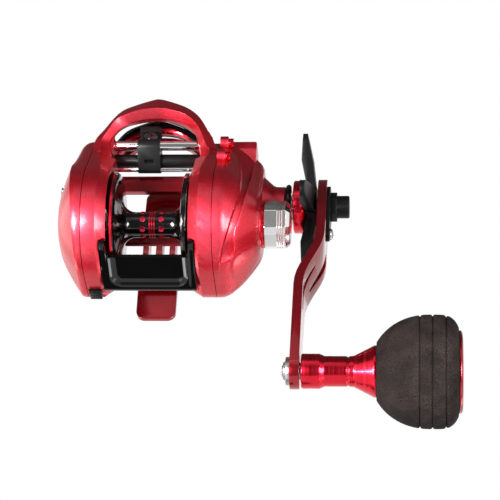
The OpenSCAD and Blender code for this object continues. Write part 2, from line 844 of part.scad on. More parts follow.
module clutch_yoke() color(brass) {
    translate([0, spool_y, spool_z]) rotate([90 - yoke_dir, 0, 0]) difference() {
        along_x(groove_x + (groove_w - yoke_t) / 2, groove_x + (groove_w + yoke_t) / 2) difference() {
            polygon(belt([[yoke_half, -1, 2], [-yoke_half, -1, 2], [-4, -4, 1], [4, -4, 1]]));
            circle(r = pinion_root_r - 0.3 + 0.2);
            translate([-pinion_root_r + 0.1, 0]) square([2 * pinion_root_r - 0.2, 6]);
        }
        for (s = [-1, 1]) bar(0, 60, 0.8, [s * yoke_half, -1]);
    }
}

module spool() color(black) {
    half = spool_w / 2;
    bend = arbor_len / 2;
    flare = half - 2.6 - bend;
    side = concat(
        [for (k = [0 : 8])
            let (t = k / 8)
            [arbor_r + (arbor_end_r + 1.6 - arbor_r) * (1 - sqrt(1 - t * t)), bend + flare * t]],
        [
            [flange_r - 2, half - flange_t - 0.6], [flange_r, half - flange_t], [flange_r, half],
            [flange_r - 2.2, half], [flange_r - 3, half - 1.2], [arbor_end_r - 2, half - 3],
            [4, bend + 2], [shaft_r + seat_gap, bend + 2]
        ]
    );
    turned(concat(
        side,
        [for (i = [len(side) - 1 : -1 : 0]) [side[i][0], -side[i][1]]]
    ), spool_at);
}

pin_x = 17.4;

module spool_shaft() color(silver) {
    difference() {
        bar(brake_x + hub_depth - 3.4, face_x + 1.6, shaft_r, spool_at);
        translate([pin_x, spool_y, spool_z]) rotate([90, 0, 0])
            cylinder(h = 10, r = 0.5 + seat_gap, center = true);
    }
}

module clutch_pin() color(silver) {
    translate([pin_x, spool_y, spool_z]) rotate([90, 0, 0]) cylinder(h = 4.8, r = 0.5, center = true);
}

pinion_end = groove_x + groove_w + 2.4;

module pinion_gear() color(brass) {
    journal = 2.6;
    teeth_x = gear_x - clutch_travel - 0.5;
    difference() {
        union() {
            bar(pin_x - 0.6, teeth_x + 0.2, journal, spool_at);
            gear(teeth_x, plate_x + 1.6, pinion_teeth, spool_at, 180 - drive_angle + 180 / pinion_teeth);
            bar(plate_x + 1.5, pinion_end, pinion_root_r - 0.3, spool_at);
            bar(plate_x + 1.5, groove_x, journal, spool_at);
            bar(groove_x + groove_w, pinion_end, journal, spool_at);
        }
        bar(0, 60, shaft_r + run_gap, spool_at);
        translate([pin_x - 2, spool_y - 4, spool_z - 0.75]) cube([2.8, 8, 1.5]);
    }
}

module pinion_bearing() color(silver) {
    tube(edge_half, wall_x, race_r, 2.6 + run_gap, spool_at);
}

module cap_bearing() color(silver) {
    tube(face_x - 2.4, face_x, race_r, shaft_r + run_gap, spool_at);
}

module cast_control_collar() color(dark_red) {
    difference() {
        tube(face_x + 0.4, cap_x + 0.7, cap_r - 0.3, race_r + 1.4, spool_at);
        for (a = [0 : 20 : 340])
            translate([face_x - 1, spool_y, spool_z]) rotate([a, 0, 0])
                translate([0, cap_r - 0.3, 0]) rotate([0, 90, 0]) cylinder(h = 5, r = 0.3, $fn = 16);
    }
}

module cast_control_cap() color(silver) {
    start = cap_x + 0.9;
    intersection() {
        turned([
            [0, cap_x + 5], [race_r + 1, cap_x + 5], [race_r + 1, start], [cap_r, start],
            [cap_r, cap_end - 4.2], [cap_r - 0.4, cap_end - 4],
            [cap_r - 0.4, cap_end - 3.6], [cap_r, cap_end - 3.4],
            [cap_r, cap_end - cap_chamfer], [cap_r - cap_chamfer, cap_end], [0, cap_end]
        ], spool_at);
        translate([0, spool_y, spool_z]) along_x(start - 1, cap_end + 1)
            polygon([for (k = [0 : 5], a = [-21, 21])
                (cap_r - 0.05) * [cos(cap_turn + 60 * k + a), sin(cap_turn + 60 * k + a)]]);
    }
}

module tension_disc() color(black) {
    bar(face_x + 1.8, cap_x + 5, 3.6, spool_at);
}

module drive_shaft() color(silver) {
    bar(edge_half + 0.3, arm_out + 0.2, drive_r, drive_at);
    bar(arm_out, nut_x + 5, drive_r - 0.5, drive_at);
}

module drive_gear() color(brass) {
    difference() {
        gear(gear_x, plate_x, drive_teeth, drive_at, -drive_angle);
        bar(0, 90, drive_r + seat_gap, drive_at);
        bar(plate_x - drag_depth, plate_x + 1, drag_seat_r, drive_at);
        for (a = [0 : 60 : 300])
            translate([0, drive_at[0], drive_at[1]]) rotate([a, 0, 0]) bar(0, 60, 1.6, [8, 0]);
    }
}

module drag_washer() color(black) {
    tube(plate_x - drag_depth, plate_x - 0.2, drag_seat_r - 0.2, drive_r + 0.3, drive_at);
}

module pressure_plate() color(silver) {
    tube(plate_x - 0.2, plate_x + 0.9, drag_seat_r - 0.4, drive_r + seat_gap, drive_at);
}

module ratchet_wheel() color(silver) {
    count = 10;
    difference() {
        translate([0, drive_at[0], drive_at[1]]) along_x(ratchet_x, ratchet_x + ratchet_t)
            polygon([for (i = [0 : count - 1], p = [[8, 0], [6.4, 0.2], [7, 0.6]])
                p[0] * [cos((i + p[1]) * 360 / count), sin((i + p[1]) * 360 / count)]]);
        bar(0, 60, drive_r + seat_gap, drive_at);
    }
}

module level_wind_gear() color(brass) {
    difference() {
        gear(wind_x, wind_x + wind_face, wind_teeth, drive_at, worm_angle);
        bar(0, 60, drive_r + seat_gap, drive_at);
        for (a = [0 : 72 : 288])
            translate([0, drive_at[0], drive_at[1]]) rotate([a, 0, 0]) bar(0, 60, 2.4, [7.4, 0]);
    }
}

module shaft_bush() color(silver) {
    tube(edge_half, wall_x, race_r, drive_r + run_gap, drive_at);
}

module roller_sleeve() color(silver) {
    tube(plate_x + 0.9, seal_x + 2.4, sleeve_r, drive_r + seat_gap, drive_at);
}

module anti_reverse_bearing() color(silver) {
    tube(face_x - 3.6, neck_x - 1.4, clutch_r, sleeve_r + run_gap, drive_at);
}

module seal_ring() color(black) {
    turned([
        [sleeve_r + 0.5, seal_x], [seal_r - 0.6, seal_x], [seal_r, seal_x + 0.7],
        [seal_r, seal_x + 1.5], [seal_r - 0.6, seal_x + 2.2], [sleeve_r + 0.5, seal_x + 2.2]
    ], drive_at);
}

module drag_ring() color(red) {
    turned([
        [drive_r + run_gap, star_x - 1], [drag_ring_r - 2, star_x - 1], [drag_ring_r - 2, ring_x],
        [drag_ring_r - 0.4, ring_x], [drag_ring_r, ring_x + 0.4], [drag_ring_r, star_x - 1],
        [drag_ring_r - 0.8, star_x], [drive_r + run_gap, star_x]
    ], drive_at);
}

module drag_springs() color(silver) {
    for (k = [0, 1])
        tube(star_x - 1.8 - k * 1.2, star_x - 1 - k * 1.2, 6, drive_r + run_gap, drive_at);
}

// One arm of the star, leaning in towards the reel at its tip
module star_arm() {
    root = star_x + star_hub_t;
    intersection() {
        along_x(star_x - 10, star_x + 10) polygon(belt([
            [star_r - 3.2, 0, 3.2], [3, 0, 4.6]
        ]));
        linear_extrude(20, center = true) polygon([
            [star_x + 0.2, 5], [root - 0.2, 5], [root - 0.2, 7],
            [root - 1.2, star_r - 11], [star_x + 0.5, star_r + 1],
            [star_x - 0.9, star_r + 1], [star_x - 1.5, star_r - 10], [star_x + 0.2, 9.5]
        ]);
    }
}

module star_drag() color(black) {
    difference() {
        union() {
            translate([0, drive_at[0], drive_at[1]])
                for (i = [0 : star_arms - 1]) rotate([star_turn + i * 360 / star_arms, 0, 0]) star_arm();
            turned([
                [0, star_x], [8.6, star_x], [9, star_x + 0.6], [8, star_x + star_hub_t - 0.4],
                [7.4, star_x + star_hub_t], [0, star_x + star_hub_t]
            ], drive_at);
        }
        bar(star_x - 5, star_x + 12, drive_r + run_gap, drive_at);
    }
}

bend_from = 23;
bend_to = 50;

// Inner face of the arm at a distance from the drive shaft
function arm_inner(s) =
    let (t = max(0, min(1, (s - bend_from) / (bend_to - bend_from))))
    arm_x - arm_set * (0.5 - 0.5 * cos(180 * t));

// Places the handle's own frame: first along the arm, second across it
module on_handle() {
    translate([0, drive_at[0], drive_at[1]]) rotate([180 - handle_angle, 0, 0]) children();
}

module handle_arm() color(dark_red) {
    arm_mid_r = 0.55 * (arm_hub_r + arm_end_r) + 0.2;
    steps = concat(
        [-arm_hub_r - 1], [for (k = [0 : 9]) bend_from + k * (bend_to - bend_from) / 9],
        [handle_len + arm_end_r + 1]
    );
    bend = concat(
        [for (s = steps) [arm_inner(s), s]],
        [for (i = [len(steps) - 1 : -1 : 0]) [arm_inner(steps[i]) + arm_t, steps[i]]]
    );
    on_handle() difference() {
        intersection() {
            along_x(0, 100) polygon(belt([
                [handle_len, 0, arm_end_r], [handle_len / 2, 0, arm_mid_r],
                [0, 0, arm_hub_r], [handle_len / 2, 0, arm_mid_r]
            ]));
            linear_extrude(60, center = true) polygon(bend);
        }
        bar(0, 100, drive_r + seat_gap, [0, 0]);
        bar(0, 100, axle_r + seat_gap, [handle_len, 0]);
        bar(arm_x + 1, 100, 0.9, [retainer_reach, 0]);
        along_x(0, 100) polygon(belt([[41, 4, 0.6], [24, 4.6, 2.3], [25, 4.4, 2.2]]));
        along_x(0, 100) polygon(belt([[55, -3, 1.9], [54, -3, 2], [36, -3.6, 0.6]]));
    }
}

retainer_reach = 15;

module nut_retainer() color(black) {
    on_handle() difference() {
        along_x(arm_out, arm_out + retainer_t)
            polygon(belt([[retainer_reach, 0, 2.8], [0, 0, 8], [3, 0, 7]]));
        bar(0, 100, drive_r + 0.2, [0, 0]);
        bar(0, 100, 1.1, [retainer_reach, 0]);
    }
}

module handle_nut() color(black) {
    difference() {
        union() {
            translate([nut_x, drive_at[0], drive_at[1]]) rotate([0, 90, 0])
                cylinder(h = 2.4, r = 5.6, $fn = 6);
            turned([
                [0, nut_x + 2], [4.3, nut_x + 2], [4.3, nut_x + 6.7], [3.9, nut_x + 7.1], [0, nut_x + 7.1]
            ], drive_at);
        }
        bar(nut_x - 1, nut_x + 5.2, drive_r - 0.5 + seat_gap, drive_at);
    }
}

module retainer_screw() color(silver) {
    on_handle() difference() {
        union() {
            bar(arm_x + 1.2, nut_x + eps, 0.85, [retainer_reach, 0]);
            turned([
                [0, nut_x], [2.2, nut_x], [2.2, nut_x + 0.4], [1.7, nut_x + 1.1], [0, nut_x + 1.5]
            ], [retainer_reach, 0]);
        }
        translate([nut_x + 0.9, retainer_reach - 3, -0.25]) cube([2, 6, 0.5]);
    }
}

bolt_t = 2.4;

module knob_bolt() color(silver) {
    difference() {
        turned([
            [axle_r + seat_gap, knob_x - bolt_t], [3.2, knob_x - bolt_t], [3.6, knob_x - bolt_t + 0.4],
            [3.6, knob_x - 0.9], [4.3, knob_x - 0.9], [4.3, knob_x], [axle_r + seat_gap, knob_x]
        ], knob_at);
    }
}

core_r = 5.4;
cap_seat = 1.4;

module knob_axle() color(silver) {
    bar(knob_x - bolt_t - 0.4, grip_end - 4, axle_r, knob_at);
    bar(knob_x + arm_t, stem_x - 0.15, axle_r + 1, knob_at);
}

module knob_bearings() color(silver) {
    for (x = [stem_x + 0.6, grip_end - 9])
        tube(x, x + 3, axle_r + 1.8, axle_r + run_gap, knob_at);
}

module knob_stem() color(red) {
    bore = axle_r + 0.6;
    race = axle_r + 1.8 + seat_gap;
    turned([
        [bore, stem_x + 3.6], [race, stem_x + 3.6], [race, stem_x],
        [stem_r - 0.3, stem_x], [stem_r, stem_x + 0.3],
        [stem_r, stem_x + 6.4], [stem_r - 0.8, stem_x + 8.2], [stem_r - 0.8, stem_x + 16],
        [stem_r - 1.1, stem_x + 16.2], [stem_r - 1.1, stem_x + 16.7], [stem_r - 0.8, stem_x + 16.9],
        [stem_r - 0.7, stem_x + 18.4], [flare_r, grip_x - 0.8], [flare_r, grip_x], [core_r, grip_x],
        [core_r, grip_end - cap_seat], [race, grip_end - cap_seat],
        [race, grip_end - 9], [bore, grip_end - 9]
    ], knob_at);
}

// Radius of the foam grip at a share of its length, fullest past the middle
function grip_radius(t) =
    let (from = 0.66, fall = t < from ? pow((from - t) / 0.76, 2.2) : pow((t - from) / 0.42, 4.4))
    grip_r * sqrt(1 - fall);

module knob_grip() color([0.16, 0.15, 0.15]) {
    steps = 20;
    turned(concat(
        [[core_r + seat_gap, grip_x]],
        [for (k = [0 : steps]) [grip_radius(k / steps), grip_x + (grip_len - cap_seat) * k / steps]],
        [[core_r + seat_gap, grip_end - cap_seat]]
    ), knob_at);
}

module knob_end_cap() color(red) {
    cap = 0.73 * grip_r;
    turned([
        [0, grip_end - cap_seat], [cap, grip_end - cap_seat], [cap, grip_end - 0.6], [cap - 0.8, grip_end],
        [cap - 3, grip_end], [cap - 4, grip_end - 0.5], [0, grip_end - 0.5]
    ], knob_at);
}

module upper_guide_rod() color(silver) {
    bar(-rod_end, rod_end, top_rod_r, top_rod_at);
}

module lower_guide_rod() color(silver) {
    bar(-rod_end, rod_end, low_rod_r, low_rod_at);
}

// The slot faces forward and down, where the pawl comes in
module worm_tube() color(black) {
    difference() {
        tube(-rod_end, tube_end, tube_r, tube_r - tube_wall, worm_at);
        translate([-guide_half + 1, worm_at[0] - 1, worm_at[1] - tube_r - 1])
            cube([2 * guide_half - 2, 2, tube_r]);
    }
}

module worm_shaft() color(silver) {
    bar(-rod_end + 0.2, wind_x + wind_face + 0.2, worm_r, worm_at);
}

module worm_bushes() color(brass) {
    for (x = [-rod_end + 0.2, tube_end - bush_t])
        tube(x, x + bush_t, tube_r - tube_wall - seat_gap, worm_r + run_gap, worm_at);
    tube(wall_x - bush_len, wall_x, tube_r, worm_r + run_gap, worm_at);
}

module worm_gear() color(brass) {
    difference() {
        gear(wind_x, wind_x + wind_face, worm_teeth, worm_at, 180 + worm_angle + 180 / worm_teeth);
        bar(0, 60, worm_r + seat_gap, worm_at);
    }
}

eye_at = worm_at + [10.6, 3.2];
eye_wall = 0.9;
eye_t = 2.6;

// Body of the line guide: a sleeve on the worm tube, a fork on the upper rod and an arm to the ring
module line_guide() color(black) {
    difference() {
        union() {
            along_x(guide_x - guide_w / 2, guide_x + guide_w / 2) polygon(belt(guide_belt));
            along_x(guide_x - guide_w / 2 + 1, guide_x + guide_w / 2 - 1) polygon(belt([
                [eye_at[0], eye_at[1] - eye_r - 1, 1.3], [worm_at[0] + 2, worm_at[1] + 1, 2.4],
                [worm_at[0] + 2, worm_at[1] - 1, 2]
            ]));
            translate([guide_x, eye_at[0] + eye_t / 2, eye_at[1]]) rotate([90, 0, 0])
                linear_extrude(eye_t) polygon(belt([
                    [guide_w / 2 - 1.7, eye_r, 1.4], [1.7 - guide_w / 2, eye_r, 1.4],
                    [1.7 - guide_w / 2, -eye_r, 1.4], [guide_w / 2 - 1.7, -eye_r, 1.4]
                ]));
        }
        bar(-30, 30, tube_r + 0.3, worm_at);
        bar(-30, 30, top_rod_r + 0.3, top_rod_at);
        bar(-30, 30, low_rod_r + 0.3, low_rod_at);
        translate([guide_x, eye_at[0] + 10, eye_at[1]]) rotate([90, 0, 0])
            cylinder(h = 20, r = eye_r + eye_wall + seat_gap);
        translate([guide_x, worm_at[0], worm_at[1] - 12]) cylinder(h = 12, r = 0.8 + seat_gap);
        // the way of the line, between the cover tube and the upper rod
        translate([guide_x - eye_r, worm_at[0] - 10, worm_at[1] + tube_r]) cube([2 * eye_r, 20, 1.3]);
    }
}

module guide_ring() color([0.12, 0.12, 0.16]) {
    translate([guide_x, eye_at[0], eye_at[1]]) rotate([90, 0, 0]) rotate_extrude()
        translate([eye_r + eye_wall / 2, 0]) polygon([
            [-eye_wall / 2, -0.6], [-0.1, -eye_t / 2], [eye_wall / 2, -eye_t / 2],
            [eye_wall / 2, eye_t / 2], [-0.1, eye_t / 2], [-eye_wall / 2, 0.6]
        ]);
}

module guide_pawl() color(brass) {
    translate([guide_x, worm_at[0], worm_at[1] - 5]) cylinder(h = 5 - worm_r - 0.1, r = 0.8);
}

frame();
reel_foot();
foot_screws();
palm_side_cover();
brake_dial();
release_tab();
brake_plate();
magnet_ring();
brake_magnets();
palm_bearing();
gear_side_cover();
cover_screws();
thumb_bar();
clutch_yoke();
spool();
spool_shaft();
clutch_pin();
pinion_gear();
pinion_bearing();
cap_bearing();
cast_control_collar();
cast_control_cap();
tension_disc();
drive_shaft();
drive_gear();
drag_washer();
pressure_plate();
ratchet_wheel();
level_wind_gear();
shaft_bush();
roller_sleeve();
anti_reverse_bearing();
seal_ring();
drag_ring();
drag_springs();
star_drag();
handle_arm();
nut_retainer();
handle_nut();
retainer_screw();
knob_bolt();
knob_axle();
knob_bearings();
knob_stem();
knob_grip();
knob_end_cap();
upper_guide_rod();
lower_guide_rod();
worm_tube();
worm_shaft();
worm_gear();
worm_bushes();
line_guide();
guide_ring();
guide_pawl();
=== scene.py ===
import json
import math

import bmesh
import bpy
from bpy.props import FloatProperty, FloatVectorProperty, IntProperty, PointerProperty
from mathutils import Matrix, Vector

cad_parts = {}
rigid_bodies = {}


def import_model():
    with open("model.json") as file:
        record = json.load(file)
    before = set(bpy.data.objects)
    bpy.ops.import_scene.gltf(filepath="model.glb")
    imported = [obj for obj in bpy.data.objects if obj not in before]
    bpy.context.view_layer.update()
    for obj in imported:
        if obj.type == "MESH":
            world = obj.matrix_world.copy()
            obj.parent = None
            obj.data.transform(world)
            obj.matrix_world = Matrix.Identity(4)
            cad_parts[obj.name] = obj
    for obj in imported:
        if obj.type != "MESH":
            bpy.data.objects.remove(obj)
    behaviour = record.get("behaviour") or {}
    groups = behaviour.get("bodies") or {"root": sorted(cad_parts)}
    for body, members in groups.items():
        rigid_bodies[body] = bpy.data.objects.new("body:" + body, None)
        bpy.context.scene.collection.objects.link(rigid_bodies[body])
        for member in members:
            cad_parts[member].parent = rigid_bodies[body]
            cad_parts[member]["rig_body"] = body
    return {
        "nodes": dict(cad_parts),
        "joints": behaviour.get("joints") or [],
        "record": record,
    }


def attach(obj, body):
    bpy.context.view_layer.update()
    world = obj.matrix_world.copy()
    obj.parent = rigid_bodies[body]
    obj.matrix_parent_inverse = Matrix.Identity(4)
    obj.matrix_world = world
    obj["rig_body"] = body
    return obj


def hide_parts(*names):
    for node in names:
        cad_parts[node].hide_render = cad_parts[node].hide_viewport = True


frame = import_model()
NODES = frame["nodes"]

bl_info = {
    "name": "Baitcasting Reel Looks",
    "version": (1, 0, 0),
    "blender": (4, 5, 0),
    "location": "View3D > Sidebar > Reel",
    "description": "Dresses the reel's CAD model with rounded shells, trim and finishes",
    "category": "Object",
}

MM = 0.001


def turning_point(joint):
    """Place of a joint's axis in the side view, in metres."""
    at = next(j for j in frame["joints"] if j["name"] == joint)["pos_m"]
    return at[1], at[2]


SPOOL = turning_point("spool_spin")
DRIVE = turning_point("handle_turn")
WORM = turning_point("worm_spin")
KNOB = turning_point("knob_spin")
DIAL = turning_point("brake_dial_turn")
SPOOL_MM, DRIVE_MM, WORM_MM, TAIL_MM = (
    [round(v / MM, 6) for v in at] for at in (SPOOL, DRIVE, WORM, turning_point("release_tab_turn")))
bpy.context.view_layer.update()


class ReelFinish(bpy.types.PropertyGroup):
    """Colours of the reel's finishes."""

    paint: FloatVectorProperty(
        name="Paint", description="Metallic red of the frame and covers", subtype="COLOR",
        size=3, min=0, max=1, default=(0.62, 0.016, 0.034))
    paint_shade: FloatVectorProperty(
        name="Paint shade", description="Deep tone between the flakes of the paint", subtype="COLOR",
        size=3, min=0, max=1, default=(0.36, 0.006, 0.014))
    anodised: FloatVectorProperty(
        name="Anodised red", description="Clear red of the knob stem, drag ring and screws", subtype="COLOR",
        size=3, min=0, max=1, default=(0.70, 0.010, 0.030))
    crank: FloatVectorProperty(
        name="Crank red", description="Deep red of the handle arm", subtype="COLOR",
        size=3, min=0, max=1, default=(0.33, 0.004, 0.012))
    foam: FloatVectorProperty(
        name="Foam", description="Dark foam of the knob", subtype="COLOR",
        size=3, min=0, max=1, default=(0.0165, 0.0122, 0.0112))
    black: FloatVectorProperty(
        name="Black", description="Gloss black of the spool and thumb bar", subtype="COLOR",
        size=3, min=0, max=1, default=(0.0012, 0.0012, 0.0014))
    silver: FloatVectorProperty(
        name="Silver", description="Polished cast control cap", subtype="COLOR",
        size=3, min=0, max=1, default=(0.82, 0.81, 0.80))


class ReelSizes(bpy.types.PropertyGroup):
    """Sizes that only the looks use."""

    edge: FloatProperty(
        name="Edge rounding", description="Rounding of the frame's edges", unit="LENGTH",
        min=0.0001, max=0.0006, default=0.0003)
    seam: FloatProperty(
        name="Seam", description="Gap between the frame and a side cover", unit="LENGTH",
        min=0.0001, max=0.0005, default=0.00025)
    groove: FloatProperty(
        name="Grip groove", description="Depth of the lines round the foam grip", unit="LENGTH",
        min=0.0001, max=0.001, default=0.0006)
    rounds: IntProperty(
        name="Steps round", description="Steps round a turned piece", min=32, max=192, default=96)


def sizes():
    return bpy.context.scene.reel_sizes


def finish():
    return bpy.context.scene.reel_finish


# Modelling tools
def alone(piece):
    """Makes one piece the only selected one."""
    bpy.ops.object.select_all(action="DESELECT")
    piece.select_set(True)
    bpy.context.view_layer.objects.active = piece


def named(name):
    """The object that was just added, under its name."""
    piece = bpy.context.view_layer.objects.active
    piece.name = name
    return piece


def add(name, shape, **settings):
    """Adds a primitive with nothing else selected."""
    bpy.ops.object.select_all(action="DESELECT")
    getattr(bpy.ops.mesh, f"primitive_{shape}_add")(**settings)
    return named(name)


def fix_place():
    """Puts the place of the selected piece into its mesh."""
    bpy.ops.object.transform_apply(location=True, rotation=True, scale=True)


def metres(points):
    """Points, stations or circles in millimetres turned to metres."""
    return [tuple(v * MM for v in point) for point in points]


def edit(piece):
    """Opens one piece in edit mode with everything selected."""
    alone(piece)
    bpy.ops.object.mode_set(mode="EDIT")
    bpy.ops.mesh.select_mode(type="VERT")
    bpy.ops.mesh.select_all(action="SELECT")


def close_edit():
    bpy.ops.object.mode_set(mode="OBJECT")


def apply_modifier(piece, kind, **settings):
    """Adds a modifier with the given settings and applies it."""
    alone(piece)
    bpy.ops.object.modifier_add(type=kind)
    modifier = piece.modifiers[-1]
    for name, value in settings.items():
        setattr(modifier, name, value)
    bpy.ops.object.modifier_apply(modifier=modifier.name)


def round_edges(piece, width, steps=2, angle=28):
    """Rounds every edge that is sharper than an angle."""
    apply_modifier(
        piece, "BEVEL", width=width, segments=steps, limit_method="ANGLE",
        angle_limit=math.radians(angle), use_clamp_overlap=True, harden_normals=False)


def settle(piece, body, slot, angle=32, look=None):
    """Shades a finished piece, gives it its slot's finish or another, and hands it to its body."""
    edit(piece)
    bpy.ops.mesh.normals_make_consistent(inside=False)
    close_edit()
    bpy.ops.object.shade_smooth_by_angle(angle=math.radians(angle))
    piece.data.materials.clear()
    piece.data.materials.append(FINISHES[look or slot])
    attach(piece, body)


def slot_of(node):
    """Name of the material slot that the record gives a CAD node."""
    return next(s["material_slot"] for s in frame["record"]["subparts"] if s["node"] == node)


def stand_in(piece, node, angle=32, look=None):
    """Settles a piece that is shown in place of a CAD node, on that node's body and slot."""
    settle(piece, NODES[node]["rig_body"], slot_of(node), angle, look)
    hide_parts(node)


def soft_copy(node, width, steps=2, angle=28):
    """A merged copy of a CAD node with its edges rounded."""
    alone(NODES[node])
    bpy.ops.object.duplicate()
    piece = named(node + "_soft")
    piece.parent = None
    for key in list(piece.keys()):
        del piece[key]
    edit(piece)
    bpy.ops.mesh.remove_doubles(threshold=2e-6)
    bpy.ops.mesh.dissolve_limited(angle_limit=math.radians(0.6))
    close_edit()
    round_edges(piece, width, steps, angle)
    return piece


def soften(node, width, look=None, steps=2, angle=28, smooth=32):
    """A rounded copy of a CAD node that stands for that node, with its edges' rounding in millimetres."""
    stand_in(soft_copy(node, width * MM, steps, angle), node, smooth, look)


def lathe(name, profile, at, steps=None, closed=False):
    """A piece turned about an axis along X, from stations and radii in millimetres."""
    profile = metres(profile + profile[:1] if closed else profile)
    (x0, r0), (y, z) = profile[0], at
    piece = add(
        name, "circle", vertices=steps or sizes().rounds, radius=r0, location=(x0, y, z),
        rotation=(0, math.pi / 2, 0))
    fix_place()
    edit(piece)
    for (xa, ra), (xb, rb) in zip(profile, profile[1:]):
        bpy.ops.mesh.extrude_edges_move(TRANSFORM_OT_translate={"value": (xb - xa, 0, 0)})
        bpy.ops.transform.resize(value=(1, rb / ra, rb / ra), center_override=(xb, y, z))
    bpy.ops.mesh.select_all(action="SELECT")
    if closed:
        bpy.ops.mesh.remove_doubles(threshold=1e-7)
    else:
        bpy.ops.mesh.fill_holes(sides=0)
    close_edit()
    return piece


def skin(name, sections):
    """A closed shell through outlines of equal length, each extruded from the last."""
    piece = add(name, "circle", vertices=len(sections[0]), radius=MM)
    edit(piece)
    loop = list(range(len(sections[0])))
    for i, outline in enumerate(sections):
        if i:
            bpy.ops.mesh.extrude_edges_move()
        mesh = bmesh.from_edit_mesh(piece.data)
        mesh.verts.ensure_lookup_table()
        if i:
            last = [mesh.verts[k] for k in loop]
            loop = [next(e.other_vert(v) for e in v.link_edges if e.other_vert(v).select).index for v in last]
        for k, point in zip(loop, outline):
            mesh.verts[k].co = point
        bmesh.update_edit_mesh(piece.data)
    bpy.ops.mesh.select_all(action="SELECT")
    bpy.ops.mesh.fill_holes(sides=0)
    close_edit()
    return piece


def belt(circles, steps):
    """Outline of a belt round circles of place, height and radius, anticlockwise."""
    def normal(a, b):
        dy, dz = b[0] - a[0], b[1] - a[1]
        return math.atan2(dz, dy) - math.acos((a[2] - b[2]) / math.hypot(dy, dz))

    points = []
    count = len(circles)
    for i, c in enumerate(circles):
        start = normal(circles[i - 1], c)
        sweep = (normal(c, circles[(i + 1) % count]) - start) % (2 * math.pi)
        for k in range(steps + 1):
            a = start + sweep * k / steps
            points.append((c[0] + c[2] * math.cos(a), c[1] + c[2] * math.sin(a)))
    return points


def even(points, count, start):
    """The same closed outline as evenly spaced points, from the one nearest an angle about the spool."""
    lengths = [0.0]
    ring = points + points[:1]
    for a, b in zip(ring, ring[1:]):
        lengths.append(lengths[-1] + math.dist(a, b))
    total = lengths[-1]
    at = min(
        range(len(points)),
        key=lambda i: abs(math.remainder(
            math.atan2(points[i][1] - SPOOL[1], points[i][0] - SPOOL[0]) - start, 2 * math.pi)))
    made = []
    for k in range(count):
        want = (lengths[at] + total * k / count) % total
        i = max(j for j in range(len(points)) if lengths[j] <= want)
        share = (want - lengths[i]) / max(lengths[i + 1] - lengths[i], 1e-12)
        made.append(tuple(p + share * (q - p) for p, q in zip(ring[i], ring[i + 1])))
    return made


def between(a, b, share):
    """Circles part of the way from one set to another."""
    return [tuple(p + share * (q - p) for p, q in zip(c, d)) for c, d in zip(a, b)]


def grown(circles, by):
    """Circles with every radius changed by the same amount."""
    return [(c[0], c[1], c[2] + by) for c in circles]


# Shader groups
def group(name, inputs, outputs):
    """A shader node group, with the sockets that it takes from and gives to."""
    tree = bpy.data.node_groups.new(name, "ShaderNodeTree")
    for label, kind, value in inputs:
        socket = tree.interface.new_socket(name=label, in_out="INPUT", socket_type="NodeSocket" + kind)
        socket.default_value = value
    for label, kind in outputs:
        tree.interface.new_socket(name=label, in_out="OUTPUT", socket_type="NodeSocket" + kind)
    return tree, tree.nodes.new("NodeGroupInput").outputs, tree.nodes.new("NodeGroupOutput").inputs


def first(value):
    """The first output of a node, or a socket or plain value as it is."""
    return value.outputs[0] if isinstance(value, bpy.types.Node) else value


def node(tree, kind, inputs=(), **settings):
    """A node with settings, and values or links for its inputs."""
    made = tree.nodes.new("ShaderNode" + kind)
    for name, value in settings.items():
        setattr(made, name, value)
    for key, value in dict(inputs).items():
        value = first(value)
        if isinstance(value, bpy.types.NodeSocket):
            tree.links.new(value, made.inputs[key])
        else:
            made.inputs[key].default_value = value
    return made


def remap(tree, value, low, high, new_low, new_high):
    """A value taken from one range to another."""
    return node(tree, "MapRange", {0: value, 1: low, 2: high, 3: new_low, 4: new_high})


def give_out(tree, give, **results):
    """Links results to a group's outputs by their names."""
    for name, value in results.items():
        tree.links.new(first(value), give[name])


def flake_group():
    """Metallic paint: small flakes that differ in tone and tilt, under a slow drift of tone."""
    tree, take, give = group(
        "Metal flake",
        [("Colour", "Color", (1, 0, 0, 1)), ("Shade", "Color", (0.3, 0, 0, 1)),
         ("Flake size", "Float", 0.0003), ("Tilt", "Float", 0.2)],
        [("Colour", "Color"), ("Normal", "Vector"), ("Roughness", "Float")])
    place = node(tree, "TexCoord").outputs["Object"]
    scale = node(tree, "Math", {0: 1.0, 1: take["Flake size"]}, operation="DIVIDE")
    flakes = node(tree, "TexVoronoi", {"Vector": place, "Scale": scale}).outputs["Color"]
    parts = node(tree, "SeparateColor", {0: flakes}).outputs
    drift = node(tree, "TexNoise", {"Vector": place, "Scale": 55.0, "Detail": 3.0})
    tone = remap(tree, parts[0], 0.0, 1.0, 0.2, 1.0)
    wash = remap(tree, drift, 0.3, 0.7, -0.05, 0.05)
    share = node(tree, "Math", {0: tone, 1: wash}, operation="ADD", use_clamp=True)
    mixed = node(tree, "Mix", {"Factor": share, 6: take["Shade"], 7: take["Colour"]}, data_type="RGBA")
    centred = node(tree, "VectorMath", {0: flakes, 1: (0.5, 0.5, 0.5)}, operation="SUBTRACT")
    tilted = node(tree, "VectorMath", {0: centred, "Scale": take["Tilt"]}, operation="SCALE")
    plain = node(tree, "NewGeometry").outputs["Normal"]
    summed = node(tree, "VectorMath", {0: plain, 1: tilted}, operation="ADD")
    normal = node(tree, "VectorMath", {0: summed}, operation="NORMALIZE")
    rough = remap(tree, parts[1], 0.0, 1.0, 0.40, 0.56)
    give_out(tree, give, Colour=mixed.outputs[2], Normal=normal, Roughness=rough)
    return tree


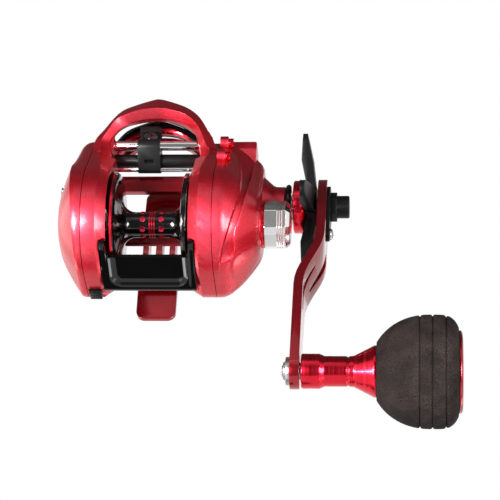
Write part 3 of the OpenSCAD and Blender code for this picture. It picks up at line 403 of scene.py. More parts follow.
def wear_group():
    """Fine handling marks: tone, roughness and a slight unevenness."""
    tree, take, give = group(
        "Handling marks",
        [("Colour", "Color", (0, 0, 0, 1)), ("Roughness", "Float", 0.2), ("Spread", "Float", 0.06),
         ("Scale", "Float", 300.0)],
        [("Colour", "Color"), ("Roughness", "Float"), ("Height", "Float")])
    place = node(tree, "TexCoord").outputs["Object"]
    broad = node(tree, "TexNoise", {"Vector": place, "Scale": 60.0, "Detail": 4.0})
    fine = node(tree, "TexNoise", {"Vector": place, "Scale": take["Scale"], "Detail": 5.0})
    both = node(tree, "Math", {0: broad, 1: fine}, operation="ADD")
    centred = node(tree, "Math", {0: both, 1: 1.0}, operation="SUBTRACT")
    swing = node(tree, "Math", {0: centred, 1: take["Spread"]}, operation="MULTIPLY")
    rough = node(tree, "Math", {0: swing, 1: take["Roughness"]}, operation="ADD", use_clamp=True)
    bright = remap(tree, broad, 0.25, 0.75, 0.88, 1.12)
    toned = node(tree, "VectorMath", {0: take["Colour"], "Scale": bright}, operation="SCALE")
    give_out(tree, give, Colour=toned, Roughness=rough, Height=fine)
    return tree


def turned_group():
    """Fine lines left round a piece by the lathe, across X."""
    tree, take, give = group(
        "Lathe lines",
        [("Colour", "Color", (1, 1, 1, 1)), ("Roughness", "Float", 0.2), ("Lines", "Float", 4000.0)],
        [("Colour", "Color"), ("Roughness", "Float"), ("Height", "Float")])
    place = node(tree, "TexCoord").outputs["Object"]
    across = node(tree, "SeparateXYZ", {0: place}).outputs["X"]
    along = node(tree, "Math", {0: across, 1: take["Lines"]}, operation="MULTIPLY")
    lines = node(tree, "TexNoise", {"W": along, "Scale": 1.0, "Detail": 2.0}, noise_dimensions="1D")
    slow = node(tree, "TexNoise", {"Vector": place, "Scale": 120.0, "Detail": 3.0})
    swing = remap(tree, lines, 0.3, 0.7, -0.05, 0.09)
    rough = node(tree, "Math", {0: swing, 1: take["Roughness"]}, operation="ADD", use_clamp=True)
    bright = remap(tree, slow, 0.25, 0.75, 0.92, 1.05)
    toned = node(tree, "VectorMath", {0: take["Colour"], "Scale": bright}, operation="SCALE")
    give_out(tree, give, Colour=toned, Roughness=rough, Height=lines)
    return tree


def foam_group():
    """Closed-cell foam: cut cells, pits and a mottled tone."""
    tree, take, give = group(
        "Foam cells",
        [("Colour", "Color", (0.05, 0.05, 0.05, 1)), ("Cell size", "Float", 0.0007)],
        [("Colour", "Color"), ("Roughness", "Float"), ("Height", "Float")])
    place = node(tree, "TexCoord").outputs["Object"]
    scale = node(tree, "Math", {0: 1.0, 1: take["Cell size"]}, operation="DIVIDE")
    cells = node(tree, "TexVoronoi", {"Vector": place, "Scale": scale, "Randomness": 1.0})
    fine = node(tree, "TexNoise", {"Vector": place, "Scale": 2600.0, "Detail": 3.0})
    broad = node(tree, "TexNoise", {"Vector": place, "Scale": 140.0, "Detail": 4.0})
    pits = remap(tree, cells.outputs["Distance"], 0.0, 0.55, 0.0, 1.0)
    height = node(tree, "Math", {0: pits, 1: fine}, operation="ADD")
    mottle = remap(tree, broad, 0.3, 0.7, 0.55, 1.5)
    speck = remap(tree, fine, 0.3, 0.7, 0.4, 1.9)
    tone = node(tree, "Math", {0: mottle, 1: speck}, operation="MULTIPLY")
    toned = node(tree, "VectorMath", {0: take["Colour"], "Scale": tone}, operation="SCALE")
    rough = remap(tree, fine, 0.2, 0.8, 0.78, 0.95)
    give_out(tree, give, Colour=toned, Roughness=rough, Height=height)
    return tree


# Finishes
FINISHES = {}


def solid(colour):
    """A colour with full cover."""
    return (*colour, 1.0)


def surface(name, shared, values, metallic=0.0, bump=0.0, bump_depth=0.0, painted_sheen=None, **shader):
    """A material whose shader takes its colour, roughness and relief from a shared group, with a painted
    sheen where one is given.
    """
    made = bpy.data.materials.new(name)
    made.use_nodes = True
    tree = made.node_tree
    shade = tree.nodes["Principled BSDF"]
    part = tree.nodes.new("ShaderNodeGroup")
    part.node_tree = shared
    for key, value in values.items():
        part.inputs[key].default_value = value
    colour = part.outputs["Colour"]
    # Painted sheen: pink added to the colour where the surface faces the viewer, standing in for a highlight
    if painted_sheen:
        facing = node(tree, "LayerWeight").outputs["Facing"]
        painted_sheen_inputs = {"Factor": remap(tree, facing, 0.0, 0.3, 1.0, 0.0), 6: colour, 7: solid(painted_sheen)}
        colour = node(tree, "Mix", painted_sheen_inputs, data_type="RGBA", blend_type="ADD").outputs[2]
    tree.links.new(colour, shade.inputs["Base Color"])
    tree.links.new(part.outputs["Roughness"], shade.inputs["Roughness"])
    shade.inputs["Metallic"].default_value = metallic
    for key, value in shader.items():
        shade.inputs[key.replace("_", " ").title().replace("Ior", "IOR")].default_value = value
    if "Normal" in part.outputs:
        tree.links.new(part.outputs["Normal"], shade.inputs["Normal"])
    elif bump:
        height = part.outputs["Height"]
        relief = node(tree, "Bump", {"Strength": bump, "Distance": bump_depth, "Height": height})
        tree.links.new(relief.outputs[0], shade.inputs["Normal"])
    made.diffuse_color = part.inputs["Colour"].default_value
    return made


def make_finishes():
    """Fills the table of finishes, by the record's material slots and by names of trim."""
    look = finish()
    flake, wear, lines, foam = flake_group(), wear_group(), turned_group(), foam_group()

    def turned(name, colour, rough, count, metallic=1.0, bump_depth=0.00002, **shader):
        """A finish with lathe lines."""
        values = {"Colour": solid(colour), "Roughness": rough, "Lines": count}
        return surface(name, lines, values, metallic, bump_depth=bump_depth, **shader)

    def handled(name, colour, rough, spread, scale, bump_depth=0.00003, **shader):
        """A finish whose roughness is spread by handling marks."""
        values = {"Colour": solid(colour), "Roughness": rough, "Spread": spread, "Scale": scale}
        return surface(name, wear, values, bump_depth=bump_depth, **shader)

    FINISHES.update(
        # The red paint carries a painted sheen: pinker where it faces the viewer, as a painted highlight
        red=surface(
            "Metallic red paint", flake,
            {"Colour": solid(look.paint), "Shade": solid(look.paint_shade), "Flake size": 0.00028,
             "Tilt": 0.13},
            metallic=1.0, painted_sheen=(0.0, 0.02, 0.03), specular_ior_level=0.2, coat_weight=0.75,
            coat_roughness=0.2, coat_ior=1.4),
        anodised=turned(
            "Anodised red", look.anodised, 0.22, 900.0, bump=0.01, bump_depth=0.00003, coat_weight=0.3,
            coat_roughness=0.06),
        trim=handled(
            "Bright red trim", (0.55, 0.008, 0.03), 0.26, 0.06, 900.0, metallic=0.85, coat_weight=0.5,
            coat_roughness=0.05),
        crank=handled(
            "Crank red", look.crank, 0.24, 0.08, 900.0, metallic=0.9, bump=0.03, coat_weight=0.8,
            coat_roughness=0.06),
        black=handled(
            "Gloss black", look.black, 0.10, 0.05, 700.0, bump=0.015, specular_ior_level=0.25,
            coat_weight=0.3, coat_roughness=0.04),
        spool_black=turned(
            "Black anodised spool", look.black, 0.10, 7000.0, metallic=0.0, bump=0.03,
            specular_ior_level=0.3, coat_weight=0.4, coat_roughness=0.03),
        satin_black=handled(
            "Satin black", (0.004, 0.004, 0.0045), 0.36, 0.10, 1500.0, bump=0.05, specular_ior_level=0.12),
        silver=turned("Polished silver", look.silver, 0.17, 6000.0, bump=0.06),
        chrome=turned("Chrome", (0.80, 0.80, 0.81), 0.07, 3000.0, bump=0.03),
        steel=turned("Satin steel", (0.36, 0.34, 0.33), 0.32, 5000.0, bump=0.02),
        brass=turned("Brass", (0.70, 0.50, 0.22), 0.24, 5000.0, bump=0.10),
        foam=surface(
            "Foam", foam, {"Colour": solid(look.foam), "Cell size": 0.0008}, bump=0.7, bump_depth=0.00025,
            specular_ior_level=0.08),
        carbon=handled(
            "Carbon fibre washer", (0.03, 0.03, 0.03), 0.5, 0.15, 2500.0, bump=0.1, bump_depth=0.0001),
        ceramic=handled(
            "Ceramic ring", (0.02, 0.02, 0.025), 0.12, 0.04, 900.0, coat_weight=0.6, coat_roughness=0.03),
        guide=handled(
            "Black moulding", (0.004, 0.004, 0.004), 0.38, 0.10, 1300.0, bump=0.06, bump_depth=0.00004,
            specular_ior_level=0.25),
    )


# Rails of the hood from the palm side to the gear side, in millimetres: front edge, ridge, inner edge and lip
HOOD = (
    ((-23.5, 28.1, 37.6), (-20.5, 33.4, 37.4), (-17.0, 39.5, 37.2), (-13.8, 43.2, 37.0), (-8.6, 45.9, 36.9),
     (-2.8, 48.1, 36.9), (-0.3, 48.5, 36.9), (3.9, 47.3, 36.9), (10.4, 44.3, 37.0), (15.0, 40.2, 37.2),
     (18.1, 35.1, 37.4), (20.7, 29.3, 37.6)),
    ((-21.2, 26.9, 38.6), (-18.6, 32.1, 39.1), (-15.7, 36.9, 39.6), (-12.0, 39.0, 39.9), (-7.1, 40.8, 40.1),
     (-1.7, 41.4, 40.2), (0.8, 41.4, 40.2), (3.9, 41.0, 40.1), (9.5, 39.2, 39.9), (13.5, 36.0, 39.6),
     (16.2, 32.1, 39.2), (18.4, 26.7, 38.6)),
    ((-18.2, 27.9, 36.4), (-16.0, 32.6, 36.3), (-13.0, 35.9, 36.3), (-9.7, 37.8, 36.2), (-5.8, 39.0, 36.2),
     (-1.7, 39.4, 36.2), (0.2, 39.5, 36.2), (2.6, 39.1, 36.2), (7.1, 38.0, 36.2), (10.9, 36.0, 36.3),
     (13.7, 33.0, 36.3), (16.0, 28.2, 36.4)),
    ((-17.3, 30.8, 33.2), (-15.7, 34.8, 33.4), (-12.6, 37.4, 33.5), (-9.4, 38.5, 33.5), (-5.7, 39.3, 33.7),
     (-1.9, 39.7, 33.9), (0.0, 39.6, 33.9), (2.3, 39.6, 33.8), (6.6, 38.6, 33.6), (10.1, 36.8, 33.6),
     (12.8, 34.5, 33.8), (14.9, 30.5, 35.6)))
# The hood's legs on their rings: where they leave the arch, their outer and inner walls and their run back
LEG_Y, LEG_HALF, LEG_INNER, LEG_TOP, LEG_RUN, LEG_SLOPE = 21.0, 23.8, 17.0, 38.78, 12.0, -0.622
# Width, back face and underside of the boxes that take the CAD's hood off the frame, and their other sizes
HOOD_BOXES, BOX = ((60.0, 33.5, 30.0), (60.0, 23.2, 35.6), (33.6, 23.2, 26.0)), 40.0
SEAM_X = 24.0
# Circles under the palm cover's belts: at the seam, at the crease, at the top and in its middle
PALM_BELT = [(24.6, 25.0, 9.8), (*SPOOL_MM, 23.0), (*TAIL_MM, 10.0), (*SPOOL_MM, 23.0)]
PALM_RIM = [(21.0, 22.0, 8.0), (*SPOOL_MM, 22.5), (*TAIL_MM, 9.5), (*SPOOL_MM, 22.5)]
PALM_APEX = [(-0.4, 26.5, 7.0), (*SPOOL_MM, 9.4), (-8.4, 24.5, 6.0), (*SPOOL_MM, 9.4)]
PALM_MIDDLE = [(-3.4, 27.0, 0.5), (-4.4, 27.0, 0.94), (-5.4, 27.0, 0.5), (-4.4, 27.0, 0.94)]
PALM_BAND, PALM_RISE, PALM_SKEW = 4.4, 10.2, 0.09
GEAR_W, GEAR_FLAT = 16.6, 2.6
# Lines of the gear side cover by the angle round its middle: stations of two crests, then depths between them
CREST_ONE = (
    (0, 25.2), (8, 25.8), (14.5, 27.8), (20.5, 31.0), (27.8, 32.3), (40.5, 33.1), (58, 33.5), (73, 33.8),
    (86, 33.9), (94, 33.8), (103, 33.15), (118, 31.64), (133, 30.06), (145, 28.53), (154, 27.53),
    (167, 26.56), (188, 25.7), (205, 25.5), (280, 25.5), (360, 25.2))
CREST_TWO = (
    (0, 36.4), (14, 37.0), (40, 36.9), (59, 36.6), (82, 36.3), (101, 35.6), (122, 34.35), (133, 33.4),
    (143, 32.72), (154, 32.4), (168, 31.5), (188, 30.5), (360, 30.5))
VALLEY = (
    (0, 0.0), (8, 0.0), (20, 2.6), (45, 3.0), (70, 2.2), (90, 1.5), (120, 1.15), (145, 1.2), (156, 1.7),
    (162, 1.3), (167, 0.0), (360, 0.0))
SHOULDER = ((0, 0.0), (155, 0.0), (172, 0.45), (215, 0.45), (240, 0.0), (360, 0.0))
# Share of the raised panel and the station of its edge, by the same angle
PANEL = ((0, 0.0), (159, 0.0), (164, 1.0), (205, 1.0), (218, 0.0), (360, 0.0))
PANEL_EDGE = (
    (0, 33.0), (160, 33.0), (168, 31.2), (180, 30.7), (195, 31.5), (205, 33.0), (216, 35.0), (360, 35.0))


def gear_circles(w):
    """Circles of the gear side cover at a distance in millimetres from the seam."""
    near = [(*WORM_MM, 6.6), (*SPOOL_MM, 23.0), (*TAIL_MM, 10.0), (*DRIVE_MM, 17.4)]
    far = [(DRIVE_MM[0] + 8, DRIVE_MM[1] + 4.3, 6.4), (*SPOOL_MM, 10.5), (-7.0, 17.0, 4.8), (*DRIVE_MM, 14.0)]
    return between(near, far, max(0.0, (w - GEAR_FLAT) / (GEAR_W - GEAR_FLAT)) ** 1.55)


def curve(table, a):
    """Value of a table of angles in degrees and values, on a smooth line through its points."""
    if a <= table[0][0]:
        return table[0][1]
    if a >= table[-1][0]:
        return table[-1][1]
    i = max(k for k in range(len(table) - 1) if table[k][0] <= a)

    def slope(k):
        low, high = table[max(k - 1, 0)], table[min(k + 1, len(table) - 1)]
        return (high[1] - low[1]) / (high[0] - low[0])

    (a0, v0), (a1, v1) = table[i], table[i + 1]
    span = a1 - a0
    t = (a - a0) / span
    return (
        (1 + 2 * t) * (1 - t) ** 2 * v0 + t * (1 - t) ** 2 * span * slope(i)
        + t * t * (3 - 2 * t) * v1 + t * t * (t - 1) * span * slope(i + 1))


def reach_table(circles, middle, count=360):
    """Distances from a middle in metres to the belt round circles in millimetres, one for each degree."""
    angles = [2 * math.pi * k / count for k in range(count)]
    lines = []
    for y, z in ((math.cos(a), math.sin(a)) for a in angles):
        high = max(c[0] * y + c[1] * z + c[2] for c in circles)
        lines.append((y, z, high - (middle[0] * y + middle[1] * z) / MM))
    return [
        min(h / (ny * y + nz * z) for ny, nz, h in lines if ny * y + nz * z > 0.02) for y, z, _ in lines]


def cut(piece, cutter):
    """Cuts one closed piece out of another and removes it."""
    edit(cutter)
    bpy.ops.mesh.normals_make_consistent(inside=False)
    close_edit()
    apply_modifier(piece, "BOOLEAN", operation="DIFFERENCE", object=cutter, solver="EXACT")
    bpy.data.objects.remove(cutter)


def top_of(circles, y):
    """Greatest height of a belt round circles at a place along the rod, in the circles' unit."""
    points = belt(circles, 48)
    crossings = [
        a[1] + (y - a[0]) / (b[0] - a[0]) * (b[1] - a[1])
        for a, b in zip(points, points[1:] + points[:1]) if (a[0] - y) * (b[0] - y) < 0]
    return max(crossings, default=circles[-1][1])


def through(points, steps):
    """Points of a smooth curve that runs through given ones."""
    ends, made = [points[0], *points, points[-1]], []
    for p, q, r, t in zip(ends, ends[1:], ends[2:], ends[3:]):
        for k in (k / steps for k in range(steps)):
            made.append(tuple(
                b + k / 2 * (c - a + k * (2 * a - 5 * b + 4 * c - d + k * (3 * (b - c) + d - a)))
                for a, b, c, d in zip(p, q, r, t)))
    return made + [points[-1]]


def hood_sections():
    """Sections of the hood from the end of one leg to the end of the other, in millimetres."""
    chamfer, chamfer_end, inner_end = LEG_HALF - 3.2, 18.8, 15.2

    def leg(side, t):
        """Section of a leg on its ring, at a share of the way back."""
        y = LEG_Y - LEG_RUN * t
        z = LEG_TOP + LEG_SLOPE * (y - LEG_Y)
        x0, x1, x2 = LEG_HALF, chamfer + (chamfer_end - chamfer) * t, LEG_INNER + (inner_end - LEG_INNER) * t
        ease = (1 - t) ** 2
        heights = (
            (x0, 0.06 - 0.3 * ease - 0.3 * t), (x1, 0.04 + 0.46 * ease), (x2, -2.66 + 0.96 * ease),
            (x2, -3.4 - 1.1 * ease), (x1, -4.0 - 2.0 * ease), (x0 - 0.5 * ease, -2.0 - 5.0 * ease))
        return [(side * x, y, z + h) for x, h in heights]

    arch = []
    for front, ridge, edge, lip in zip(*HOOD):
        rise = (ridge[2] - 38.6) / 1.6
        arch.append([
            front, ridge, edge, lip, (0.97 * ridge[0], ridge[1], 34.9 + 1.1 * rise),
            (0.98 * front[0], front[1] - 0.7, 32.0 + 3.0 * rise)])
    ways = (1.0, 0.75, 0.5, 0.25, 0.0)
    stations = [leg(-1, t) for t in ways] + arch + [leg(1, t) for t in reversed(ways)]
    return list(zip(*(through([station[k] for station in stations], 5) for k in range(6))))


def hood():
    """The hood over the line guide, whose legs run back into the chamfered rings."""
    piece = skin("hood_shell", list(map(metres, hood_sections())))
    round_edges(piece, 0.8 * MM, 6, 22)
    settle(piece, "frame", "red", 24)


def leg_opening(section, side):
    """Outline of the room over the chamfer of a leg's section, inside the frame."""
    (x1, y, z1), (x2, _, z2) = section[1], section[2]
    drop = -0.3 + 0.5 * max(0.0, (LEG_Y - y) / LEG_RUN)
    steep = (z1 - z2) / abs(x1 - x2)
    inside = x2 - side * 2.0
    return metres([
        (x1, y, z1 + drop), (inside, y, z2 + drop - 2.0 * steep), (inside, y, z1 + 6), (x1, y, z1 + 6)])


def frame_shell():
    """The frame without its hood, and with the shoulder beside the line guide's rods run down to the seam."""
    piece = soft_copy("frame", sizes().edge, 3, 18)
    path = hood_sections()
    for side, sections in ((-1, path[:24]), (1, path[-24:])):
        cut(piece, skin("leg_cut", [leg_opening(section, side) for section in sections]))
    for width, start, under in HOOD_BOXES:
        box = add(
            "hood_cut", "cube", size=BOX * MM, location=(0, (start + BOX / 2) * MM, (under + BOX / 2) * MM),
            scale=(width / BOX, 1, 1))
        fix_place()
        cut(piece, box)
    shoulder = [(24.6, 25.0, 9.7), (29.5, 32.06, 3.4)]
    sections = []
    for k in range(12):
        y = 23.0 + 10.6 * k / 11
        low, high = top_of(PALM_BELT[1::-1], y) + 0.15, top_of(shoulder, y) + 0.1
        sections.append(metres([
            (-24.6, y, low - 0.2), (-23.0, y, low + 0.3), (-19.6, y, high), (-19.6, y, high + 6),
            (-24.6, y, high + 6)]))
    cut(piece, skin("shoulder_cut", sections))
    stand_in(piece, "frame", 17, "red")
    # Between the rings, the faces that don't look outwards are a deeper red: painted shade for the floor, the
    # crossbar and the inner walls that lie in the frame's shade
    piece.data.materials.append(FINISHES["crank"])
    for face in piece.data.polygons:
        x, y, z = face.center / MM
        if abs(x) < 15.0 and z < 33.0 and face.normal.x * x <= 0.4 * abs(x):
            face.material_index = 1


def cut_round(piece, x0, x1, radius, at):
    """Cuts a round hole along X out of a piece, from station to station in millimetres."""
    cutter = add(
        "round_cut", "cylinder", vertices=64, radius=radius * MM, depth=(x1 - x0) * MM,
        location=((x0 + x1) / 2 * MM, *at), rotation=(0, math.pi / 2, 0))
    fix_place()
    cut(piece, cutter)


def stood(circles, x, lean=0.0, count=144):
    """A belt's outline at a station in millimetres across the reel, leaning with the distance forward."""
    return [
        (x * MM + lean * (y - SPOOL[0]), y, z)
        for y, z in even(belt(metres(circles), 24), count, math.radians(-90))]


def palm_cover():
    """The domed cover on the palm side, with a crease where its band meets the dome."""
    x0 = -SEAM_X - sizes().seam / MM
    sections = []
    for t in (k / 8 for k in range(9)):
        belt_at = between(PALM_BELT, PALM_RIM, t ** 2.71)
        sections.append(stood(belt_at, x0 - PALM_BAND * t, -PALM_SKEW * t))
    for t in (k / 12 for k in range(1, 13)):
        rise = PALM_BAND + (PALM_RISE - PALM_BAND) * (1 - (1 - t) ** 1.32)
        sections.append(stood(between(PALM_RIM, PALM_APEX, t), x0 - rise, -PALM_SKEW * (1 - t)))
    for share, rise in ((0.25, 0.12), (0.5, 0.2), (0.8, 0.25)):
        sections.append(stood(between(PALM_APEX, PALM_MIDDLE, share), x0 - PALM_RISE - rise))
    piece = skin("palm_cover_shell", sections)
    cut_round(piece, -60, -28, 5.0, DIAL)
    stand_in(piece, "palm_side_cover", 14)


def gear_cover():
    """The shell over the gears, with a valley between its two crests."""
    middle = (SPOOL[0] + 0.2 * (DRIVE[0] - SPOOL[0]), SPOOL[1])
    edge, inset = GEAR_W - 0.9, sizes().seam / MM
    layers = [inset + (GEAR_W - inset) * k / 60 for k in range(61)]
    reaches = [reach_table(grown(gear_circles(w), min(0.0, edge - w)), middle) for w in layers]

    def reach(w, a):
        """Distance of the plain shell from the middle, in millimetres."""
        at = min(max((w - inset) / (GEAR_W - inset) * 60, 0.0), 59.999)
        low, high = reaches[int(at)], reaches[int(at) + 1]
        turn = a % 360 / 360 * len(low)
        i, share = int(turn), turn % 1
        near, far = [t[i % len(t)] + share * (t[(i + 1) % len(t)] - t[i % len(t)]) for t in (low, high)]
        return near + (at % 1) * (far - near)

    def spread(a):
        """Stations and drops of the shell's profile at an angle: lobe, step, valley, crest and side."""
        one, two = curve(CREST_ONE, a) - SEAM_X, curve(CREST_TWO, a) - SEAM_X
        deep, fall = curve(VALLEY, a), curve(SHOULDER, a)
        stations = [(inset + (one - 0.6 - inset) * k / 12, 0.0) for k in range(13)]
        stations += [(one - 0.3, -0.08), (one, -0.12), (one + 0.15, 0.05), (one + 0.4, 0.7), (one + 0.7, 1.0)]
        stations += [(one + 0.7 + (two - one - 1.5) * k / 7, 1.0 - 0.25 * k / 7) for k in range(1, 8)]
        stations += [(two - 0.5, 0.5), (two - 0.25, 0.15), (two, 0.0)]
        stations += [(two + (GEAR_W - two) * k / 16, 0.0) for k in range(1, 17)]
        shaped = []
        for w, share in stations:
            drop = deep * share
            if w > one:
                drop += fall * (1 - math.exp(-(w - one) / 0.6)) * max(0.0, (GEAR_W - w) / (GEAR_W - one))
            inside = min(curve(PANEL, a) * 1.6, (w + SEAM_X - curve(PANEL_EDGE, a)) / 0.9 + 0.5, 1.0)
            drop -= 0.4 * max(0.0, inside)
            shaped.append((w, drop))
        return shaped

    count = 240
    lines = []
    for a in (-90 + 360 * k / count for k in range(count)):
        way, line = math.radians(a), []
        for w, drop in spread(a % 360):
            r = (reach(w, a) - drop) * MM
            line.append(((SEAM_X + w) * MM, middle[0] + r * math.cos(way), middle[1] + r * math.sin(way)))
        lines.append(line)
    stand_in(skin("gear_cover_shell", list(zip(*lines))), "gear_side_cover", 30)


def gear_fittings():
    """The worm's housing, the drive boss, the cap's seat and the screws' lugs on the gear side."""
    circles = [(31.3, 23.0, 2.0), (31.5, 30.0, 1.1), (28.6, 30.3, 1.1), (14.0, 26.0, 2.0), (20.0, 17.0, 3.0)]
    sides = [(24.6, 0), (37.0, 0), (37.4, -0.2), (37.6, -0.6)]
    housing = skin("worm_housing", [stood(grown(circles, by), x, count=192) for x, by in sides])
    settle(housing, "frame", "red", 24)
    turned = [
        lathe("drive_boss", [
            (36.6, 15.0), (40.4, 11.7), (42.8, 9.5), (43.9, 8.5), (44.6, 8.0), (45.3, 7.75), (46.4, 7.7),
            (48.5, 7.7), (48.8, 7.4), (48.8, 5.2)], DRIVE),
        lathe("cap_seat", [
            (35.6, 5.0), (35.6, 9.0), (40.6, 9.0), (40.9, 8.8), (41.0, 8.4), (41.0, 5.0)],
            SPOOL, closed=True)]
    for i, (dy, dz) in enumerate(((1.9, 8.6), (-10.4, 16.5))):
        at = (WORM[0] + dy * MM, WORM[1] + dz * MM)
        turned.append(lathe(f"screw_lug_{i}", [(24.25, 2.5), (27.0, 2.5), (27.3, 2.35), (27.4, 2.0)], at, 48))
    for piece in turned:
        settle(piece, "frame", "red", 30)


def line_sill():
    """The dark sill under the way of the line, inside the hood's front edge: a black piece that stands as
    painted shade under the hood.
    """
    sections = []
    for x, y, _ in through(HOOD[0][1:10], 4):
        sections.append(metres([
            (0.88 * x, y - 3.4, 22.7), (0.97 * x, y - 0.6, 22.5), (0.96 * x, y - 0.8, 25.6),
            (0.93 * x, y - 1.8, 25.4)]))
    piece = skin("line_sill", sections)
    round_edges(piece, 0.25 * MM)
    # Gloss black: painted shade under the hood's front edge
    settle(piece, "frame", "satin_black", look="black")


def thumb_bar():
    """The thumb bar: a plate between two ears, with a dish whose walls run out into its face."""
    half, thick, rim, corner, deep, wall = 17.3, 2.4, 2.8, 4.6, 1.35, 2.8
    spool = Vector(SPOOL_MM)
    top, low, ear = spool + Vector((-21.0, 7.9)), spool + Vector((-24.5, -7.3)), spool + Vector((-16.2, 13.6))
    down = (low - top).normalized()
    out = Vector((down.y, -down.x))
    span = (low - top).length

    def depth(x, t):
        """How far the face is sunk at a place across and down it."""
        across, along = half - rim - abs(x), span - 2.0 - t
        if across < corner and along < corner:
            inside = corner - math.hypot(corner - across, corner - along)
        else:
            inside = min(across, along)
        share = min(1.0, max(0.0, inside / wall))
        return deep * (1 - (1 - share) ** 2)

    steps = 26
    sections = []
    stations = [half - 0.22 - (2 * half - 0.44) * k / 92 for k in range(93)]
    for x, inset in [(half, 0.22), *((v, 0.0) for v in stations), (-half, 0.22)]:
        share = min(1.0, max(0.0, (abs(x) - half + 2.6) / 0.9))
        share = share * share * (3 - 2 * share)
        inner, crown = top - thick * out, top.lerp(ear + Vector((-3.4, -1.4)), share)
        outline = [
            low - thick * out - Vector((0, 0.6)), inner, (inner + 0.02 * out).lerp(ear, share),
            (inner + 0.12 * out - 0.1 * down).lerp(ear + Vector((-0.4, 0.3)), share),
            (top - 0.5 * out - 0.1 * down).lerp(ear + Vector((-1.6, 0.4)), share)]
        for k in range(steps + 1):
            place = crown.lerp(low, k / steps)
            outline.append(place - depth(x, (place - top).dot(down)) * out)
        outline += [low - Vector((0, 0.8)) - 0.2 * out, low - Vector((0, 1.2)) - 0.6 * out]
        middle = sum(outline, Vector((0, 0))) / len(outline)
        outline = [p + (middle - p).normalized() * inset for p in outline]
        sections.append(metres([(x, *p) for p in outline]))
    stand_in(skin("thumb_bar_plate", sections), "thumb_bar", 38, "black")


def spool_trim():
    """The spool with its red rim, its three red lines and the red seats of its holes."""
    soften("spool", 0.12, angle=24, smooth=26)
    strip = lathe("spool_rim_strip", [
        (-13.95, 19.0), (-13.95, 19.34), (-13.85, 19.42), (-13.15, 19.42), (-13.05, 19.34), (-13.05, 19.0)],
        SPOOL, 160, closed=True)
    settle(strip, "spool", "anodised")
    core = 4.84
    for i, x in enumerate((-0.9, 0.0, 0.9)):
        line = lathe(f"spool_line_{i}", [
            (x - 0.26, core - 0.3), (x - 0.26, core), (x - 0.12, core + 0.1), (x + 0.12, core + 0.1),
            (x + 0.26, core), (x + 0.26, core - 0.3)], SPOOL, 72, closed=True)
        settle(line, "spool", "anodised", look="trim")
    seat = lathe("spool_hole_seat", [
        (4.2, 1.12), (core, 1.12), (4.94, 1.0), (4.92, 0.8), (4.85, 0.5), (4.83, 0.2)], (0.0, 0.0), 32)
    upright = Matrix.Rotation(-math.pi / 2, 4, "Y")
    for i in range(16):
        turn = Matrix.Rotation(math.radians(45 * (i // 2) + 10), 4, "X")
        alone(seat)
        bpy.ops.object.duplicate()
        copy = named(f"spool_hole_{i:02d}")
        copy.matrix_world = Matrix.Translation((3.55 * MM * (1 if i % 2 else -1), *SPOOL)) @ (turn @ upright)
        fix_place()
        settle(copy, "spool", "anodised", look="trim")
    bpy.data.objects.remove(seat)


def cast_cap():
    """The cast control cap: six flats with narrow lands, and three lines near its end."""
    start, end, radius, turn = 42.1, 51.6, 8.95, 50.0
    line = radius - 0.35
    angles = [math.radians(turn + 60 * k + a) for k in range(6) for a in (-21, 21)]
    profile = [(start, radius - 0.2), (start + 0.2, radius)]
    for x in (47.2, 48.1, 49.0):
        profile += [(x - 0.25, radius), (x - 0.1, line), (x + 0.1, line), (x + 0.25, radius)]
    profile += [(end - 1.6, radius), (end - 0.1, radius - 1.5), (end, radius - 1.8)]
    y, z = SPOOL
    piece = skin("cast_cap", [
        [(x, y + r * math.cos(a), z + r * math.sin(a)) for a in angles] for x, r in metres(profile)])
    cut_round(piece, start - 1, 46.2, 5.5, SPOOL)
    round_edges(piece, 0.12 * MM, 1, 25)
    stand_in(piece, "cast_control_cap", 8)


def knob_bolt():
    """The bolt head that holds the knob's axle in the arm."""
    piece = lathe("knob_bolt_head", [
        (51.8, 2.02), (51.8, 2.9), (52.0, 3.2), (52.6, 3.3), (52.6, 4.5), (52.75, 4.85), (53.0, 5.0),
        (54.2, 5.0), (54.2, 2.02)], KNOB, 64, closed=True)
    stand_in(piece, "knob_bolt", look="steel")


def foam_grip():
    """The foam grip with the lines round it."""
    x0, length, full, bore, steps, widest = 84.6, 28.6, 20.0, 5.6, 72, 0.66
    lines = (99.7, 104.1, 108.8)
    stations = sorted({x0 + length * k / steps for k in range(steps + 1)}
                      | {x + d for x in lines for d in (-0.7, -0.4, -0.2, 0, 0.2, 0.4, 0.7)})
    profile = [(x0, bore)]
    for x in stations:
        t = (x - x0) / length
        fall = ((widest - t) / 0.76) ** 2.2 if t < widest else ((t - widest) / 0.42) ** 4.4
        r = full * math.sqrt(1 - fall)
        for at in lines:
            r -= sizes().groove / MM * math.exp(-((x - at) / 0.3) ** 2)
        profile.append((x, r))
    profile.append((x0 + length, bore))
    grip = lathe("foam_grip", profile, KNOB, 128, closed=True)
    stand_in(grip, "knob_grip", 40)


def dress_rest():
    """Gives every CAD node that is still shown the finish of its slot."""
    for name, shown in NODES.items():
        for slot in shown.material_slots:
            slot.material = FINISHES[slot_of(name)]


# Stage
VIEW_UP, VIEW_YAW = math.radians(55), math.radians(4.7)
VIEW_AT, VIEW_FAR, VIEW_LENS = Vector((0.0346, 0.00055, 0.004)), 0.8, 150.0
